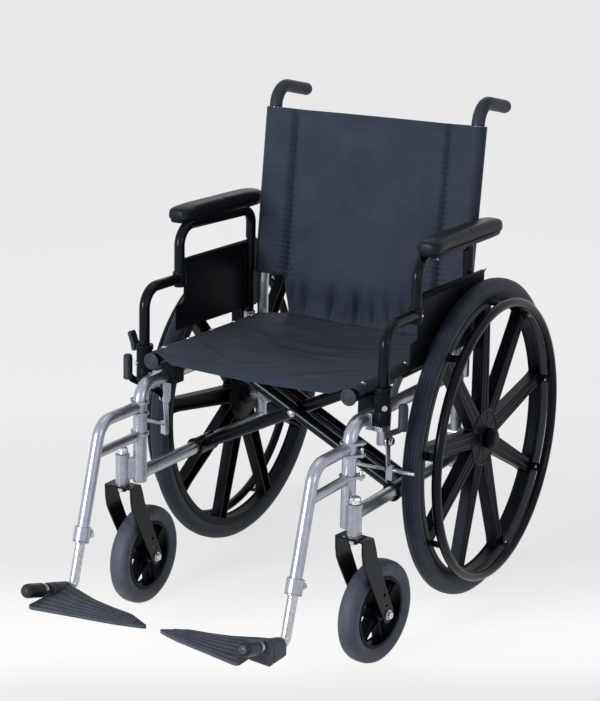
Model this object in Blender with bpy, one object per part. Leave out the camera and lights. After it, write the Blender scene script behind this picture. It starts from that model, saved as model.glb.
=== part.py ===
"""Folding wheelchair with swing-away footrests and lift-out armrests.

Sizes are in metres and +Z is up. The floor is z = 0 and the origin lies on it,
under the middle of the chair's footprint. The chair faces -Y, so +X is the
seated person's left. The frame leans back a little, so its pieces are drawn
level, as seen from the rear axle (y = 0, z above the floor), and all hang
from one empty that gives them the lean. The rear wheels hang from a second
one that doesn't lean.
"""

import math

import bmesh
import bpy
from mathutils import Matrix, Vector

# Stance
LEAN_DEG = 2.5

# Gaps between pieces that seat, that turn on each other, and under cloth
SEAT_GAP = 0.0003
TURN_GAP = 0.0004
HINGE_GAP = 0.0008
CLOTH_GAP = 0.0003

# Side frames
FRAME_X = 0.219
TUBE_R = 0.0127
POST_Y = -0.4265
POST_BOTTOM = 0.242
POST_BEND_R = 0.034
RAIL_END_Y = -0.0015
UPPER_RAIL_Z = 0.427
LOWER_RAIL_Z = 0.259
REAR_TUBE_BOTTOM = 0.236
CANE_R = 0.0111
CANE_BEND_Z = 0.545
CANE_BEND_R = 0.060
CANE_TOP_Z = 0.904
RECLINE_DEG = 6.2
HANDLE_BEND_R = 0.038
HANDLE_REACH = 0.112
HANDLE_DROP = 0.020
GRIP_WALL = 0.0012

# Rear wheels
WHEEL_R = 0.305
WHEEL_OUT = 0.0516
TYRE_DEPTH = 0.031
TYRE_HALF = 0.0160
TYRE_SHOULDER = 0.011
RIM_DEPTH = 0.013
RIM_HALF = 0.014
HUB_R = 0.056
HUB_INNER = 0.027
HUB_OUTER = 0.014
SPOKES = 8
SPOKE_WIDE = 0.034
SPOKE_NARROW = 0.026
SPOKE_DEEP = 0.022
SPOKE_WALL = 0.005
HANDRIM_R = WHEEL_R - 0.0418
HANDRIM_TUBE_R = 0.009
HANDRIM_OUT = 0.0376
AXLE_R = 0.0062
AXLE_SLEEVE_R = 0.0115
CAP_R = 0.020
CAP_HIGH = 0.024

# Casters
BARREL_OUT = 0.025
BARREL_AHEAD = 0.0205
BARREL_R = 0.0135
BARREL_BOTTOM = 0.240
BARREL_TOP = 0.297
STEM_R = 0.0066
CASTER_R = 0.094
CASTER_HALF = 0.019
CASTER_TYRE_DEPTH = 0.028
CASTER_SHOULDER = 0.012
CASTER_RIM_DEPTH = 0.006
CASTER_SPOKES = 6
CASTER_TRAIL = 0.0706
CASTER_HUB_R = 0.014
CASTER_AXLE_R = 0.004
FORK_STRIP = 0.0036
FORK_CLEAR = 0.0072
STEER_LEFT_DEG = -7.0
STEER_RIGHT_DEG = 1.0

# Cross brace and seat rails
SEAT_RAIL_IN = 0.014
SEAT_RAIL_Z = 0.4705
SEAT_RAIL_FRONT = -0.398
SEAT_RAIL_REAR = -0.030
BRACE_Y = -0.215
BRACE_R = 0.012
BRACE_GAP = 0.0003
BRACE_SLEEVE_R = 0.017
BRACE_SLEEVE_LONG = 0.094
BRACE_SLEEVE_SHORT = 0.060
BRACE_BOLT_R = 0.0047
SADDLE_Y = -0.337
SADDLE_LONG = 0.030
SADDLE_WIDE = 0.030

# Seat and back cloth
CLOTH = 0.0024
SEAT_FRONT = -0.408
SEAT_REAR = 0.004
SEAT_SAG = 0.011
HEM_DROP = 0.015
HEM_LONG = 0.020
HALF_GAP = 0.00015
BACK_BOTTOM = 0.563
BACK_TOP = CANE_TOP_Z - 0.015
BACK_SEAM_IN = 0.054
BACK_SEAM_AHEAD = 0.010
BACK_POCKET_R = 0.0175
BACK_PANEL = 0.004
BACK_BOW = 0.009
BACK_FLAP_Z = 0.480
BACK_FLAP_BEHIND = 0.012

# Armrests
ARM_OUT = 0.031
ARM_TUBE_R = 0.010
ARM_FRONT_Y = -0.368
ARM_UPRIGHT_Y = -0.254
ARM_STEP_Z = 0.591
ARM_TOP_Z = 0.684
ARM_BEND_R = 0.038
ARM_FOOT_Z = 0.424
ARM_COLLAR_HIGH = 0.026
ARM_COLLAR_WALL = 0.003
ARM_REAR_OUT = 0.019
ARM_REAR_Y = -0.0195
ARM_REAR_R = 0.0085
SOCKET_WALL = 0.0050
SOCKET_LIP = 0.0016
SOCKET_TOP = 0.487
SOCKET_FLOOR = 0.007
REAR_SOCKET_BOTTOM = 0.424
REAR_SOCKET_TOP = 0.484
REAR_SOCKET_FLOOR = 0.010
REAR_SOCKET_WALL = 0.0030
PAD_OUT = 0.043
PAD_HALF = 0.0243
PAD_FRONT = -0.252
PAD_REAR = 0.046
PAD_HIGH = 0.0315
GUARD_IN = 0.0017
GUARD_THICK = 0.002
GUARD_TOP = ARM_TOP_Z - 0.056
GUARD_BOTTOM = 0.490
GUARD_REAR = 0.052
GUARD_STEP_Y = -0.268
GUARD_STEP_Z = 0.543
GUARD_LIP = 0.0145
GUARD_LIP_LONG = 0.170
RELEASE_WIDE = 0.018
RELEASE_HIGH = 0.036

# Swing-away footrests
HANGER_R = 0.011
HANGER_Z = 0.387
HANGER_FRONT = -0.547
HANGER_BEND_R = 0.038
HANGER_TILT_DEG = 16.5
HANGER_END_Z = 0.186
HANGER_BRACE_Z = 0.332
HANGER_BRACE_R = 0.009
RING_THICK = 0.005
RING_R = 0.017
CATCH_PIN_R = 0.0034
CATCH_PIN_LONG = 0.018
CLAMP_WALL = 0.0036
CLAMP_LONG = 0.026
EXTENSION_R = 0.009
EXTENSION_INSIDE = 0.040
STUB_Z = 0.101
STUB_R = 0.007
STUB_COLLAR_WALL = 0.0026
STUB_COLLAR_LONG = 0.012
PLATE_TOP = 0.104
PLATE_THICK = 0.008
PLATE_TOE_Y = -0.769
PLATE_TIP_X = 0.014
PLATE_TIP_Y = -0.698
PLATE_BARREL_WALL = 0.0058
PLATE_BARREL_START = 0.016
PLATE_BARREL_LONG = 0.064
PLATE_RIBS = 5
PLATE_GROOVE = 0.0015
KNOB_R = 0.0116
KNOB_LONG = 0.047

# Wheel locks
LOCK_Y = -0.318
LOCK_Z = 0.374
LOCK_BOLT_R = 0.004
LOCK_STRAP = 0.003
LOCK_TOP = 0.462
LOCK_GRIP_R = 0.009
LOCK_GRIP_LONG = 0.048
LOCK_GRIP_X = 0.289
LOCK_GRIP_Y = -0.366
LOCK_ROD_R = 0.0035
LOCK_ROD_Z = 0.320
LOCK_ROD_CLEAR = 0.0045
LOCK_STAY_R = 0.0027

# Round pieces are faceted: how many sides each kind has
TUBE_SIDES = 12
THIN_SIDES = 10
WHEEL_SIDES = 44
CASTER_SIDES = 24
BEND_STEP_DEG = 22.5
MERGE = 0.000002

X_WAY = Vector((1, 0, 0))
Y_WAY = Vector((0, 1, 0))
Z_WAY = Vector((0, 0, 1))

FINISHES = {
    "satin_silver": ((0.52, 0.54, 0.57), 0.35, 0.9),
    "gloss_black": ((0.01, 0.011, 0.013), 0.2, 0.0),
    "black_plastic": ((0.013, 0.014, 0.018), 0.5, 0.0),
    "slate_nylon": ((0.045, 0.055, 0.072), 0.8, 0.0),
    "black_vinyl": ((0.014, 0.016, 0.022), 0.4, 0.0),
    "dark_tyre": ((0.03, 0.034, 0.043), 0.7, 0.0),
    "grey_rubber": ((0.08, 0.09, 0.105), 0.7, 0.0),
    "zinc_steel": ((0.6, 0.6, 0.62), 0.3, 1.0),
}


def finished(work):
    """The mesh of a bmesh, with doubles merged and every face looking outward."""
    bmesh.ops.remove_doubles(work, verts=work.verts, dist=MERGE)
    bmesh.ops.recalc_face_normals(work, faces=work.faces)
    mesh = bpy.data.meshes.new("solid")
    work.to_mesh(mesh)
    work.free()
    return mesh


def rod(start, end, radius, sides=TUBE_SIDES):
    """A straight round bar between two points."""
    start = Vector(start)
    way = Vector(end) - start
    turn = way.to_track_quat("Z", "Y").to_matrix().to_4x4()
    half_step = Matrix.Rotation(math.pi / sides, 4, "Z")
    work = bmesh.new()
    bmesh.ops.create_cone(
        work,
        cap_ends=True,
        segments=sides,
        radius1=radius,
        radius2=radius,
        depth=way.length,
        matrix=Matrix.Translation(start + way / 2) @ turn @ half_step,
    )
    return finished(work)


def bore(start, end, radius, sides=TUBE_SIDES):
    """A cutter whose flats, and not only its corners, clear a round piece of that radius."""
    return rod(start, end, radius / math.cos(math.pi / sides), sides)


def bar(path, radius, sides=TUBE_SIDES):
    """A round bar that follows a path."""
    curve = bpy.data.curves.new("bar", "CURVE")
    curve.dimensions = "3D"
    curve.bevel_depth = radius
    curve.bevel_resolution = sides // 2 - 2
    curve.use_fill_caps = True
    spline = curve.splines.new("POLY")
    spline.points.add(len(path) - 1)
    for point, place in zip(spline.points, path):
        point.co = (*place, 1)
    guide = bpy.data.objects.new("bar", curve)
    work = bmesh.new()
    work.from_mesh(guide.to_mesh())
    guide.to_mesh_clear()
    bpy.data.objects.remove(guide)
    bpy.data.curves.remove(curve)
    return finished(work)


def turned(profile, centre, axis, sides=24):
    """A profile of (radius, distance along the axis) spun about the axis."""
    work = bmesh.new()
    points = [work.verts.new((radius, 0, distance)) for radius, distance in profile]
    edges = [work.edges.new(pair) for pair in zip(points, points[1:])]
    if profile[0][0] > 0:
        edges.append(work.edges.new((points[-1], points[0])))
    bmesh.ops.spin(
        work,
        geom=points + edges,
        axis=Z_WAY,
        cent=(0, 0, 0),
        steps=sides,
        angle=2 * math.pi,
        use_merge=True,
    )
    turn = Vector(axis).to_track_quat("Z", "Y").to_matrix().to_4x4()
    half_step = Matrix.Rotation(math.pi / sides, 4, "Z")
    work.transform(Matrix.Translation(centre) @ turn @ half_step)
    return finished(work)


def block(low, high):
    """A box between two corners."""
    low = Vector(low)
    high = Vector(high)
    size = Matrix.Diagonal((*(high - low), 1))
    work = bmesh.new()
    bmesh.ops.create_cube(work, size=1, matrix=Matrix.Translation((low + high) / 2) @ size)
    return finished(work)


def panel(outline, start, end, axis):
    """A flat outline, drawn in the other two axes, made thick along x, y or z."""

    def placed(a, b, along):
        point = [a, b]
        point.insert("xyz".index(axis), along)
        return Vector(point)

    work = bmesh.new()
    face = work.faces.new([work.verts.new(placed(a, b, start)) for a, b in outline])
    grown = bmesh.ops.extrude_face_region(work, geom=[face])["geom"]
    far_side = [v for v in grown if isinstance(v, bmesh.types.BMVert)]
    bmesh.ops.translate(work, verts=far_side, vec=placed(0, 0, end - start))
    return finished(work)


def loft(sections):
    """A solid through closed sections with the same number of points."""
    work = bmesh.new()
    rings = [[work.verts.new(point) for point in section] for section in sections]
    for ring_a, ring_b in zip(rings, rings[1:]):
        for k in range(len(ring_a)):
            work.faces.new((ring_a[k - 1], ring_a[k], ring_b[k], ring_b[k - 1]))
    work.faces.new(rings[0])
    work.faces.new(rings[-1])
    return finished(work)


def sheet(outer, inner):
    """A closed sheet between two grids of points, row by row."""
    work = bmesh.new()
    sides = [[[work.verts.new(point) for point in row] for row in grid] for grid in (outer, inner)]
    rows = len(outer)
    columns = len(outer[0])
    for grid in sides:
        for i in range(rows - 1):
            for k in range(columns - 1):
                work.faces.new((grid[i][k], grid[i][k + 1], grid[i + 1][k + 1], grid[i + 1][k]))
    border = [(0, k) for k in range(columns)]
    border += [(i, columns - 1) for i in range(1, rows)]
    border += [(rows - 1, k) for k in reversed(range(columns - 1))]
    border += [(i, 0) for i in reversed(range(1, rows - 1))]
    for (i, k), (next_i, next_k) in zip(border, border[1:] + border[:1]):
        near = (sides[0][i][k], sides[0][next_i][next_k])
        work.faces.new((*near, sides[1][next_i][next_k], sides[1][i][k]))
    return finished(work)


def rounded_path(corners, radius, step_deg=BEND_STEP_DEG):
    """A path through the corners with an arc at each inner one; radius may be a list."""
    corners = [Vector(corner) for corner in corners]
    radii = radius if isinstance(radius, list) else [radius] * (len(corners) - 2)
    path = [corners[0]]
    for before, here, after, bend in zip(corners, corners[1:], corners[2:], radii):
        back = (before - here).normalized()
        ahead = (after - here).normalized()
        turn = math.pi - back.angle(ahead)
        centre = here + (back + ahead).normalized() * bend / math.cos(turn / 2)
        start = (here + back * bend * math.tan(turn / 2) - centre).normalized()
        end = (here + ahead * bend * math.tan(turn / 2) - centre).normalized()
        steps = max(2, round(math.degrees(turn) / step_deg))
        path += [centre + start.slerp(end, k / steps) * bend for k in range(steps + 1)]
    path.append(corners[-1])
    return path


def moved(mesh, matrix):
    """A copy of the mesh, moved."""
    copy = mesh.copy()
    copy.transform(matrix)
    return copy


def mirrored(mesh):
    """A copy of the mesh for the other side of the chair."""
    copy = moved(mesh, Matrix.Scale(-1, 4, X_WAY))
    copy.flip_normals()
    return copy


def shaped(base, others, operation):
    """The base after an exact Boolean with each of the others in turn; all are used up."""
    target = bpy.data.objects.new("target", base)
    bpy.context.collection.objects.link(target)
    for mesh in others:
        helper = bpy.data.objects.new("helper", mesh)
        helper.hide_render = True
        helper.display_type = "WIRE"
        bpy.context.collection.objects.link(helper)
        step = target.modifiers.new("step", "BOOLEAN")
        step.operation = operation
        step.solver = "EXACT"
        step.object = helper
        bpy.context.view_layer.update()
        work = bmesh.new()
        work.from_object(target, bpy.context.evaluated_depsgraph_get())
        bmesh.ops.dissolve_degenerate(work, edges=work.edges, dist=MERGE)
        target.modifiers.remove(step)
        bpy.data.objects.remove(helper)
        before = target.data
        target.data = finished(work)
        bpy.data.meshes.remove(before)
        bpy.data.meshes.remove(mesh)
    result = target.data
    bpy.data.objects.remove(target)
    return result


def joined(base, *others):
    return shaped(base, others, "UNION")


def cut(base, *others):
    return shaped(base, others, "DIFFERENCE")


for old in list(bpy.data.objects):
    bpy.data.objects.remove(old)

# The two empties that carry everything: one leans with the frame and one,
# at the rear axle too, stands level for the wheels.
AXLE = Vector((0, 0, WHEEL_R))
leaning = bpy.data.objects.new("leaning_frame", None)
level = bpy.data.objects.new("level_axle", None)
for carrier in (leaning, level):
    carrier.location = AXLE
    bpy.context.collection.objects.link(carrier)
leaning.rotation_euler.x = -math.radians(LEAN_DEG)


def node(name, mesh, finish, pivot, carrier=leaning):
    """One piece of the chair, with its origin on its pivot."""
    pivot = Vector(pivot)
    mesh.transform(Matrix.Translation(-pivot))
    mesh.name = name
    colour, roughness, metallic = FINISHES[finish]
    made = bpy.data.materials.new(finish + "_of_" + name)
    made.use_nodes = True
    shader = made.node_tree.nodes["Principled BSDF"]
    shader.inputs["Base Color"].default_value = (*colour, 1)
    shader.inputs["Roughness"].default_value = roughness
    shader.inputs["Metallic"].default_value = metallic
    mesh.materials.clear()
    mesh.materials.append(made)
    mesh.shade_smooth()
    mesh.set_sharp_from_angle(angle=math.radians(35))
    piece = bpy.data.objects.new(name, mesh)
    piece.parent = carrier
    piece.location = pivot - AXLE
    bpy.context.collection.objects.link(piece)


def pair(name, mesh, finish, pivot=(0, 0, 0), carrier=leaning):
    """The same piece on the left and, mirrored, on the right."""
    x, y, z = pivot
    node(name + "_right", mirrored(mesh), finish, (-x, y, z), carrier)
    node(name + "_left", mesh, finish, pivot, carrier)


# Side frame. The front post bends into the upper rail. The rear tube leans
# back above the seat as the cane, and bends into the push handle.
RECLINE = math.radians(RECLINE_DEG)
CANE_WAY = Vector((0, math.sin(RECLINE), math.cos(RECLINE)))
CANE_FORWARD = Vector((0, -math.cos(RECLINE), math.sin(RECLINE)))


def cane_point(z):
    """The middle of the left cane at a height."""
    return Vector((FRAME_X, (z - CANE_BEND_Z) * math.tan(RECLINE), z))


post_path = rounded_path(
    [(FRAME_X, POST_Y, POST_BOTTOM), (FRAME_X, POST_Y, UPPER_RAIL_Z), (FRAME_X, RAIL_END_Y, UPPER_RAIL_Z)],
    POST_BEND_R,
)
handle_corner = cane_point(CANE_TOP_Z) + CANE_WAY * HANDLE_BEND_R * 0.8
handle_end = handle_corner + Vector((0, HANDLE_REACH, -HANDLE_DROP))
handle_way = (handle_end - handle_corner).normalized()
cane_path = rounded_path(
    [(FRAME_X, 0, REAR_TUBE_BOTTOM), (FRAME_X, 0, CANE_BEND_Z), handle_corner, handle_end],
    [CANE_BEND_R, HANDLE_BEND_R],
)
lower_rail = rod((FRAME_X, POST_Y + 0.001, LOWER_RAIL_Z), (FRAME_X, RAIL_END_Y, LOWER_RAIL_Z), TUBE_R)

# The caster barrel stands outside and ahead of the post, on a short web.
barrel_x = FRAME_X + BARREL_OUT
barrel_y = POST_Y - BARREL_AHEAD
barrel_low = Vector((barrel_x, barrel_y, BARREL_BOTTOM))
barrel_high = Vector((barrel_x, barrel_y, BARREL_TOP))
barrel = rod(barrel_low, barrel_high, BARREL_R)
barrel_web = panel(
    [
        (FRAME_X - 0.004, POST_Y - 0.006),
        (barrel_x - 0.006, barrel_y - 0.006),
        (barrel_x + 0.006, barrel_y + 0.006),
        (FRAME_X + 0.004, POST_Y + 0.006),
    ],
    BARREL_BOTTOM + 0.008,
    BARREL_TOP - 0.008,
    "z",
)

# The axle sleeve, the tab and shelf of the front arm socket, the rear arm
# socket, the cradle of the seat rail and the stay of the wheel lock.
wheel_x = FRAME_X + WHEEL_OUT
axle_inner = Vector((FRAME_X - 0.0155, 0, WHEEL_R))
axle_sleeve = rod(axle_inner, (wheel_x - HUB_INNER - 0.004, 0, WHEEL_R), AXLE_SLEEVE_R)
arm_x = FRAME_X + ARM_OUT
socket_r = ARM_TUBE_R + SOCKET_WALL
socket_low = ARM_FOOT_Z - SOCKET_FLOOR
socket_tab = block(
    (FRAME_X + 0.002, ARM_FRONT_Y - 0.010, UPPER_RAIL_Z - 0.012),
    (arm_x - socket_r - SEAT_GAP, ARM_FRONT_Y + 0.010, UPPER_RAIL_Z + 0.010),
)
socket_shelf = block(
    (FRAME_X + 0.004, ARM_FRONT_Y - 0.012, socket_low - 0.009),
    (arm_x + 0.006, ARM_FRONT_Y + 0.012, socket_low - SEAT_GAP),
)
shelf_stub = rod(
    (arm_x - 0.003, ARM_FRONT_Y, socket_low - 0.036),
    (arm_x - 0.003, ARM_FRONT_Y, socket_low - 0.006),
    0.0065,
    10,
)
rear_x = FRAME_X + ARM_REAR_OUT
rear_foot = Vector((rear_x, ARM_REAR_Y, REAR_SOCKET_BOTTOM + REAR_SOCKET_FLOOR))
rear_socket = rod(
    (rear_x, ARM_REAR_Y, REAR_SOCKET_BOTTOM),
    (rear_x, ARM_REAR_Y, REAR_SOCKET_TOP),
    ARM_REAR_R + REAR_SOCKET_WALL,
)
rear_socket_web = block(
    (FRAME_X + 0.004, ARM_REAR_Y, UPPER_RAIL_Z + 0.024),
    (rear_x - 0.002, -0.004, UPPER_RAIL_Z + 0.044),
)
seat_rail_x = FRAME_X - SEAT_RAIL_IN
seat_rail_at = Vector((seat_rail_x, 0, SEAT_RAIL_Z))
cradle = block(
    (seat_rail_x - 0.0105, SEAT_RAIL_REAR - 0.062, UPPER_RAIL_Z + 0.004),
    (seat_rail_x + 0.010, SEAT_RAIL_REAR - 0.028, SEAT_RAIL_Z - TUBE_R - SEAT_GAP),
)
lock_x = FRAME_X + TUBE_R + SEAT_GAP
lock_stay = rod(
    (FRAME_X, POST_Y, HANGER_BRACE_Z + 0.029),
    (lock_x + 0.0015, LOCK_Y - 0.008, LOCK_ROD_Z + 0.004),
    LOCK_STAY_R,
    8,
)
side_frame = joined(
    bar(post_path, TUBE_R),
    bar(cane_path, CANE_R),
    lower_rail,
    barrel,
    barrel_web,
    axle_sleeve,
    socket_tab,
    socket_shelf,
    shelf_stub,
    rear_socket,
    rear_socket_web,
    cradle,
    lock_stay,
)
side_frame = cut(
    side_frame,
    bore(barrel_low - Z_WAY * 0.01, barrel_high + Z_WAY * 0.01, STEM_R + TURN_GAP),
    bore(axle_inner - X_WAY * 0.01, (wheel_x, 0, WHEEL_R), AXLE_R + SEAT_GAP),
    bore(rear_foot, rear_foot + Z_WAY * 0.1, ARM_REAR_R + SEAT_GAP),
)
pair("side_frame", side_frame, "satin_silver")

# Push grip: a rubber sleeve over the bent end of the cane, with a domed end.
grip_low = cane_point(BACK_TOP) + CANE_WAY * 2 * SEAT_GAP
grip_tip = handle_end + handle_way * 0.003
grip_r = CANE_R + SEAT_GAP + GRIP_WALL
grip_dome = turned(
    [(0, 0), (grip_r, 0), (grip_r * 0.86, 0.0065), (grip_r * 0.5, 0.0095), (0, 0.0105)],
    grip_tip - handle_way * 0.002,
    handle_way,
    TUBE_SIDES,
)
tube_in_grip = rounded_path(
    [grip_low - CANE_WAY * 0.02, handle_corner, handle_end + handle_way * SEAT_GAP],
    HANDLE_BEND_R,
)
grip_path = rounded_path([grip_low, handle_corner, grip_tip], HANDLE_BEND_R)
bore_r = (CANE_R + SEAT_GAP) / math.cos(math.pi / TUBE_SIDES)
grip = cut(joined(bar(grip_path, grip_r), grip_dome), bar(tube_in_grip, bore_r))
pair("push_grip", grip, "slate_nylon")

# Rear wheel: rim, eight tapered spokes and hub in one moulding. Each spoke is
# a channel, open to the inner side, with a flat outer face.
hub_at = Vector((wheel_x, 0, WHEEL_R))
rim_r = WHEEL_R - TYRE_DEPTH
rim_inner_r = rim_r - RIM_DEPTH
rim = turned(
    [
        (rim_r, -RIM_HALF),
        (rim_r, RIM_HALF),
        (rim_inner_r, RIM_HALF),
        (rim_inner_r, -RIM_HALF),
    ],
    hub_at,
    X_WAY,
    WHEEL_SIDES,
)
hub = turned(
    [
        (0.020, -HUB_INNER),
        (0.022, -0.018),
        (HUB_R, -0.012),
        (HUB_R, HUB_OUTER - 0.0045),
        (0.024, HUB_OUTER - 0.0045),
        (0.021, HUB_OUTER),
        (0, HUB_OUTER),
        (0, -HUB_INNER),
    ],
    hub_at,
    X_WAY,
    24,
)


def tapered(inner_end, outer_end, x_low, x_high, wide, narrow):
    """A bar that runs out from the hub and narrows toward the rim."""
    rings = []
    for radius, width in ((inner_end, wide), (outer_end, narrow)):
        corners = ((x_low, -1), (x_high, -1), (x_high, 1), (x_low, 1))
        rings.append([Vector((x, side * width / 2, radius)) for x, side in corners])
    return loft(rings)


spoke_x = HUB_OUTER - 0.005
spoke = tapered(HUB_R - 0.014, rim_r - 0.004, spoke_x - SPOKE_DEEP, spoke_x, SPOKE_WIDE, SPOKE_NARROW)
channel = tapered(
    HUB_R + 0.012,
    rim_inner_r - 0.014,
    spoke_x - SPOKE_DEEP - 0.01,
    spoke_x - SPOKE_WALL,
    SPOKE_WIDE - 2 * SPOKE_WALL,
    SPOKE_NARROW - 2 * SPOKE_WALL,
)
at_hub = Matrix.Translation(hub_at)
turns = [at_hub @ Matrix.Rotation(k * math.tau / SPOKES, 4, "X") for k in range(SPOKES)]
wheel = joined(rim, hub, *[moved(spoke, turn) for turn in turns])
wheel = cut(
    wheel,
    bore(hub_at - X_WAY * 0.05, hub_at + X_WAY * 0.05, AXLE_R + TURN_GAP),
    *[moved(channel, turn) for turn in turns],
)
pair("wheel", wheel, "black_plastic", hub_at, level)

# Tyre. Its flats lie at the wheel's radius, so that one rests on the floor.
tread_r = WHEEL_R / math.cos(math.pi / WHEEL_SIDES)
tyre_seat = rim_r + SEAT_GAP
tyre = turned(
    [
        (tyre_seat, -RIM_HALF + 0.0025),
        (tread_r - TYRE_SHOULDER, -TYRE_HALF),
        (tread_r, -TYRE_HALF * 0.35),
        (tread_r, TYRE_HALF * 0.35),
        (tread_r - TYRE_SHOULDER, TYRE_HALF),
        (tyre_seat, RIM_HALF - 0.0025),
    ],
    hub_at,
    X_WAY,
    WHEEL_SIDES,
)
pair("wheel_tyre", tyre, "dark_tyre", hub_at, level)

# Handrim, held off the rim by a tab at each spoke.
handrim_at = hub_at + X_WAY * HANDRIM_OUT
section = []
for k in range(6):
    angle = math.tau * k / 6
    section.append((HANDRIM_R + HANDRIM_TUBE_R * math.cos(angle), HANDRIM_TUBE_R * math.sin(angle)))
handrim = turned(section, handrim_at, X_WAY, WHEEL_SIDES)
tab = block((RIM_HALF + SEAT_GAP, -0.008, rim_inner_r + 0.002), (HANDRIM_OUT, 0.008, rim_inner_r + 0.006))
handrim = joined(handrim, *[moved(tab, turn) for turn in turns])
pair("handrim", handrim, "gloss_black", hub_at, level)

# Axle. Its domed cap stands outside the hub and doesn't turn with the wheel.
cap_from = wheel_x + HUB_OUTER + HINGE_GAP
axle = turned(
    [
        (0, axle_inner.x - 0.002),
        (AXLE_R, axle_inner.x - 0.002),
        (AXLE_R, cap_from - 0.0001),
        (CAP_R, cap_from),
        (CAP_R, cap_from + CAP_HIGH * 0.45),
        (CAP_R * 0.75, cap_from + CAP_HIGH * 0.85),
        (0, cap_from + CAP_HIGH),
    ],
    (0, 0, WHEEL_R),
    X_WAY,
    16,
)
pair("rear_axle", axle, "black_plastic", hub_at, level)

# Caster. The wheel stands on the floor, so the height of its centre, in the
# leaning frame, is worked out from the floor. The fork is drawn straight
# behind its stem at x = 0, y = 0 and then steered.
lean = math.radians(LEAN_DEG)
caster_y = barrel_y + CASTER_TRAIL
caster_z = WHEEL_R + (CASTER_R - WHEEL_R + caster_y * math.sin(lean)) / math.cos(lean)
caster_at = Vector((0, CASTER_TRAIL, caster_z))
crown_z = BARREL_BOTTOM - 0.003
fork_inner = CASTER_HALF + FORK_CLEAR
fork_outer = fork_inner + FORK_STRIP
knee_y = 0.030
knee_z = crown_z - 0.038
leg_outline = [
    (-0.015, crown_z),
    (0.017, crown_z),
    (knee_y, knee_z),
    (CASTER_TRAIL + 0.015, caster_z + 0.005),
    (CASTER_TRAIL + 0.013, caster_z - 0.009),
    (CASTER_TRAIL + 0.002, caster_z - 0.015),
    (CASTER_TRAIL - 0.010, caster_z - 0.010),
    (CASTER_TRAIL - 0.015, caster_z + 0.003),
    (-0.003, crown_z - 0.058),
    (-0.014, crown_z - 0.024),
]
crown = block(
    (-fork_outer + 0.0005, -0.0146, crown_z - FORK_STRIP),
    (fork_outer - 0.0005, 0.0166, crown_z + 0.0004),
)
stem = turned(
    [
        (0, crown_z - 0.012),
        (0.009, crown_z - 0.012),
        (0.009, BARREL_BOTTOM - HINGE_GAP),
        (STEM_R, BARREL_BOTTOM - HINGE_GAP + 0.0001),
        (STEM_R, BARREL_TOP + HINGE_GAP - 0.0001),
        (0.0125, BARREL_TOP + HINGE_GAP),
        (0.0115, BARREL_TOP + 0.009),
        (0, BARREL_TOP + 0.014),
    ],
    (0, 0, 0),
    Z_WAY,
    TUBE_SIDES,
)
left_leg = panel(leg_outline, fork_inner, fork_outer, "x")
right_leg = panel(leg_outline, -fork_outer, -fork_inner, "x")
fork = joined(left_leg, right_leg, crown, stem)
leg_way = Vector((0, knee_y - CASTER_TRAIL, knee_z - caster_z)).normalized()
holes = [bore(caster_at - X_WAY * 0.06, caster_at + X_WAY * 0.06, CASTER_AXLE_R + SEAT_GAP, 10)]
for step in (1, 2):
    spare = caster_at + leg_way * 0.022 * step
    holes.append(rod(spare - X_WAY * 0.06, spare + X_WAY * 0.06, 0.0033, 6))
fork = cut(fork, *holes)

caster_tread_r = CASTER_R / math.cos(math.pi / CASTER_SIDES)
caster_seat_r = CASTER_R - CASTER_TYRE_DEPTH
caster_rim_r = caster_seat_r - SEAT_GAP
caster_tyre = turned(
    [
        (caster_seat_r, -CASTER_HALF + 0.005),
        (caster_tread_r - CASTER_SHOULDER, -CASTER_HALF),
        (caster_tread_r, -CASTER_HALF * 0.35),
        (caster_tread_r, CASTER_HALF * 0.35),
        (caster_tread_r - CASTER_SHOULDER, CASTER_HALF),
        (caster_seat_r, CASTER_HALF - 0.005),
    ],
    (0, 0, 0),
    X_WAY,
    CASTER_SIDES,
)
caster_rim = turned(
    [
        (caster_rim_r, -CASTER_HALF + 0.0045),
        (caster_rim_r, CASTER_HALF - 0.0045),
        (caster_rim_r - CASTER_RIM_DEPTH, CASTER_HALF - 0.0055),
        (caster_rim_r - CASTER_RIM_DEPTH, -CASTER_HALF + 0.0055),
    ],
    (0, 0, 0),
    X_WAY,
    CASTER_SIDES,
)
hub_half = fork_inner - HINGE_GAP
caster_hub = rod((-hub_half, 0, 0), (hub_half, 0, 0), CASTER_HUB_R, 14)
caster_spoke = tapered(0.008, caster_rim_r - 0.003, -0.009, 0.009, 0.017, 0.010)
caster_turns = [Matrix.Rotation((k + 0.2) * math.tau / CASTER_SPOKES, 4, "X") for k in range(CASTER_SPOKES)]
caster_wheel = joined(caster_rim, caster_hub, *[moved(caster_spoke, turn) for turn in caster_turns])
caster_wheel = cut(caster_wheel, bore((-0.05, 0, 0), (0.05, 0, 0), CASTER_AXLE_R + TURN_GAP, 10))
caster_axle = turned(
    [
        (0, -fork_outer - 0.006),
        (0.007, -fork_outer - 0.006),
        (0.007, -fork_outer - SEAT_GAP),
        (CASTER_AXLE_R, -fork_outer - SEAT_GAP + 0.0001),
        (CASTER_AXLE_R, fork_outer + SEAT_GAP - 0.0001),
        (0.007, fork_outer + SEAT_GAP),
        (0.006, fork_outer + 0.006),
        (0, fork_outer + 0.008),
    ],
    (0, 0, 0),
    X_WAY,
    10,
)
upright = Matrix.Translation(caster_at) @ Matrix.Rotation(lean, 4, "X")
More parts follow.
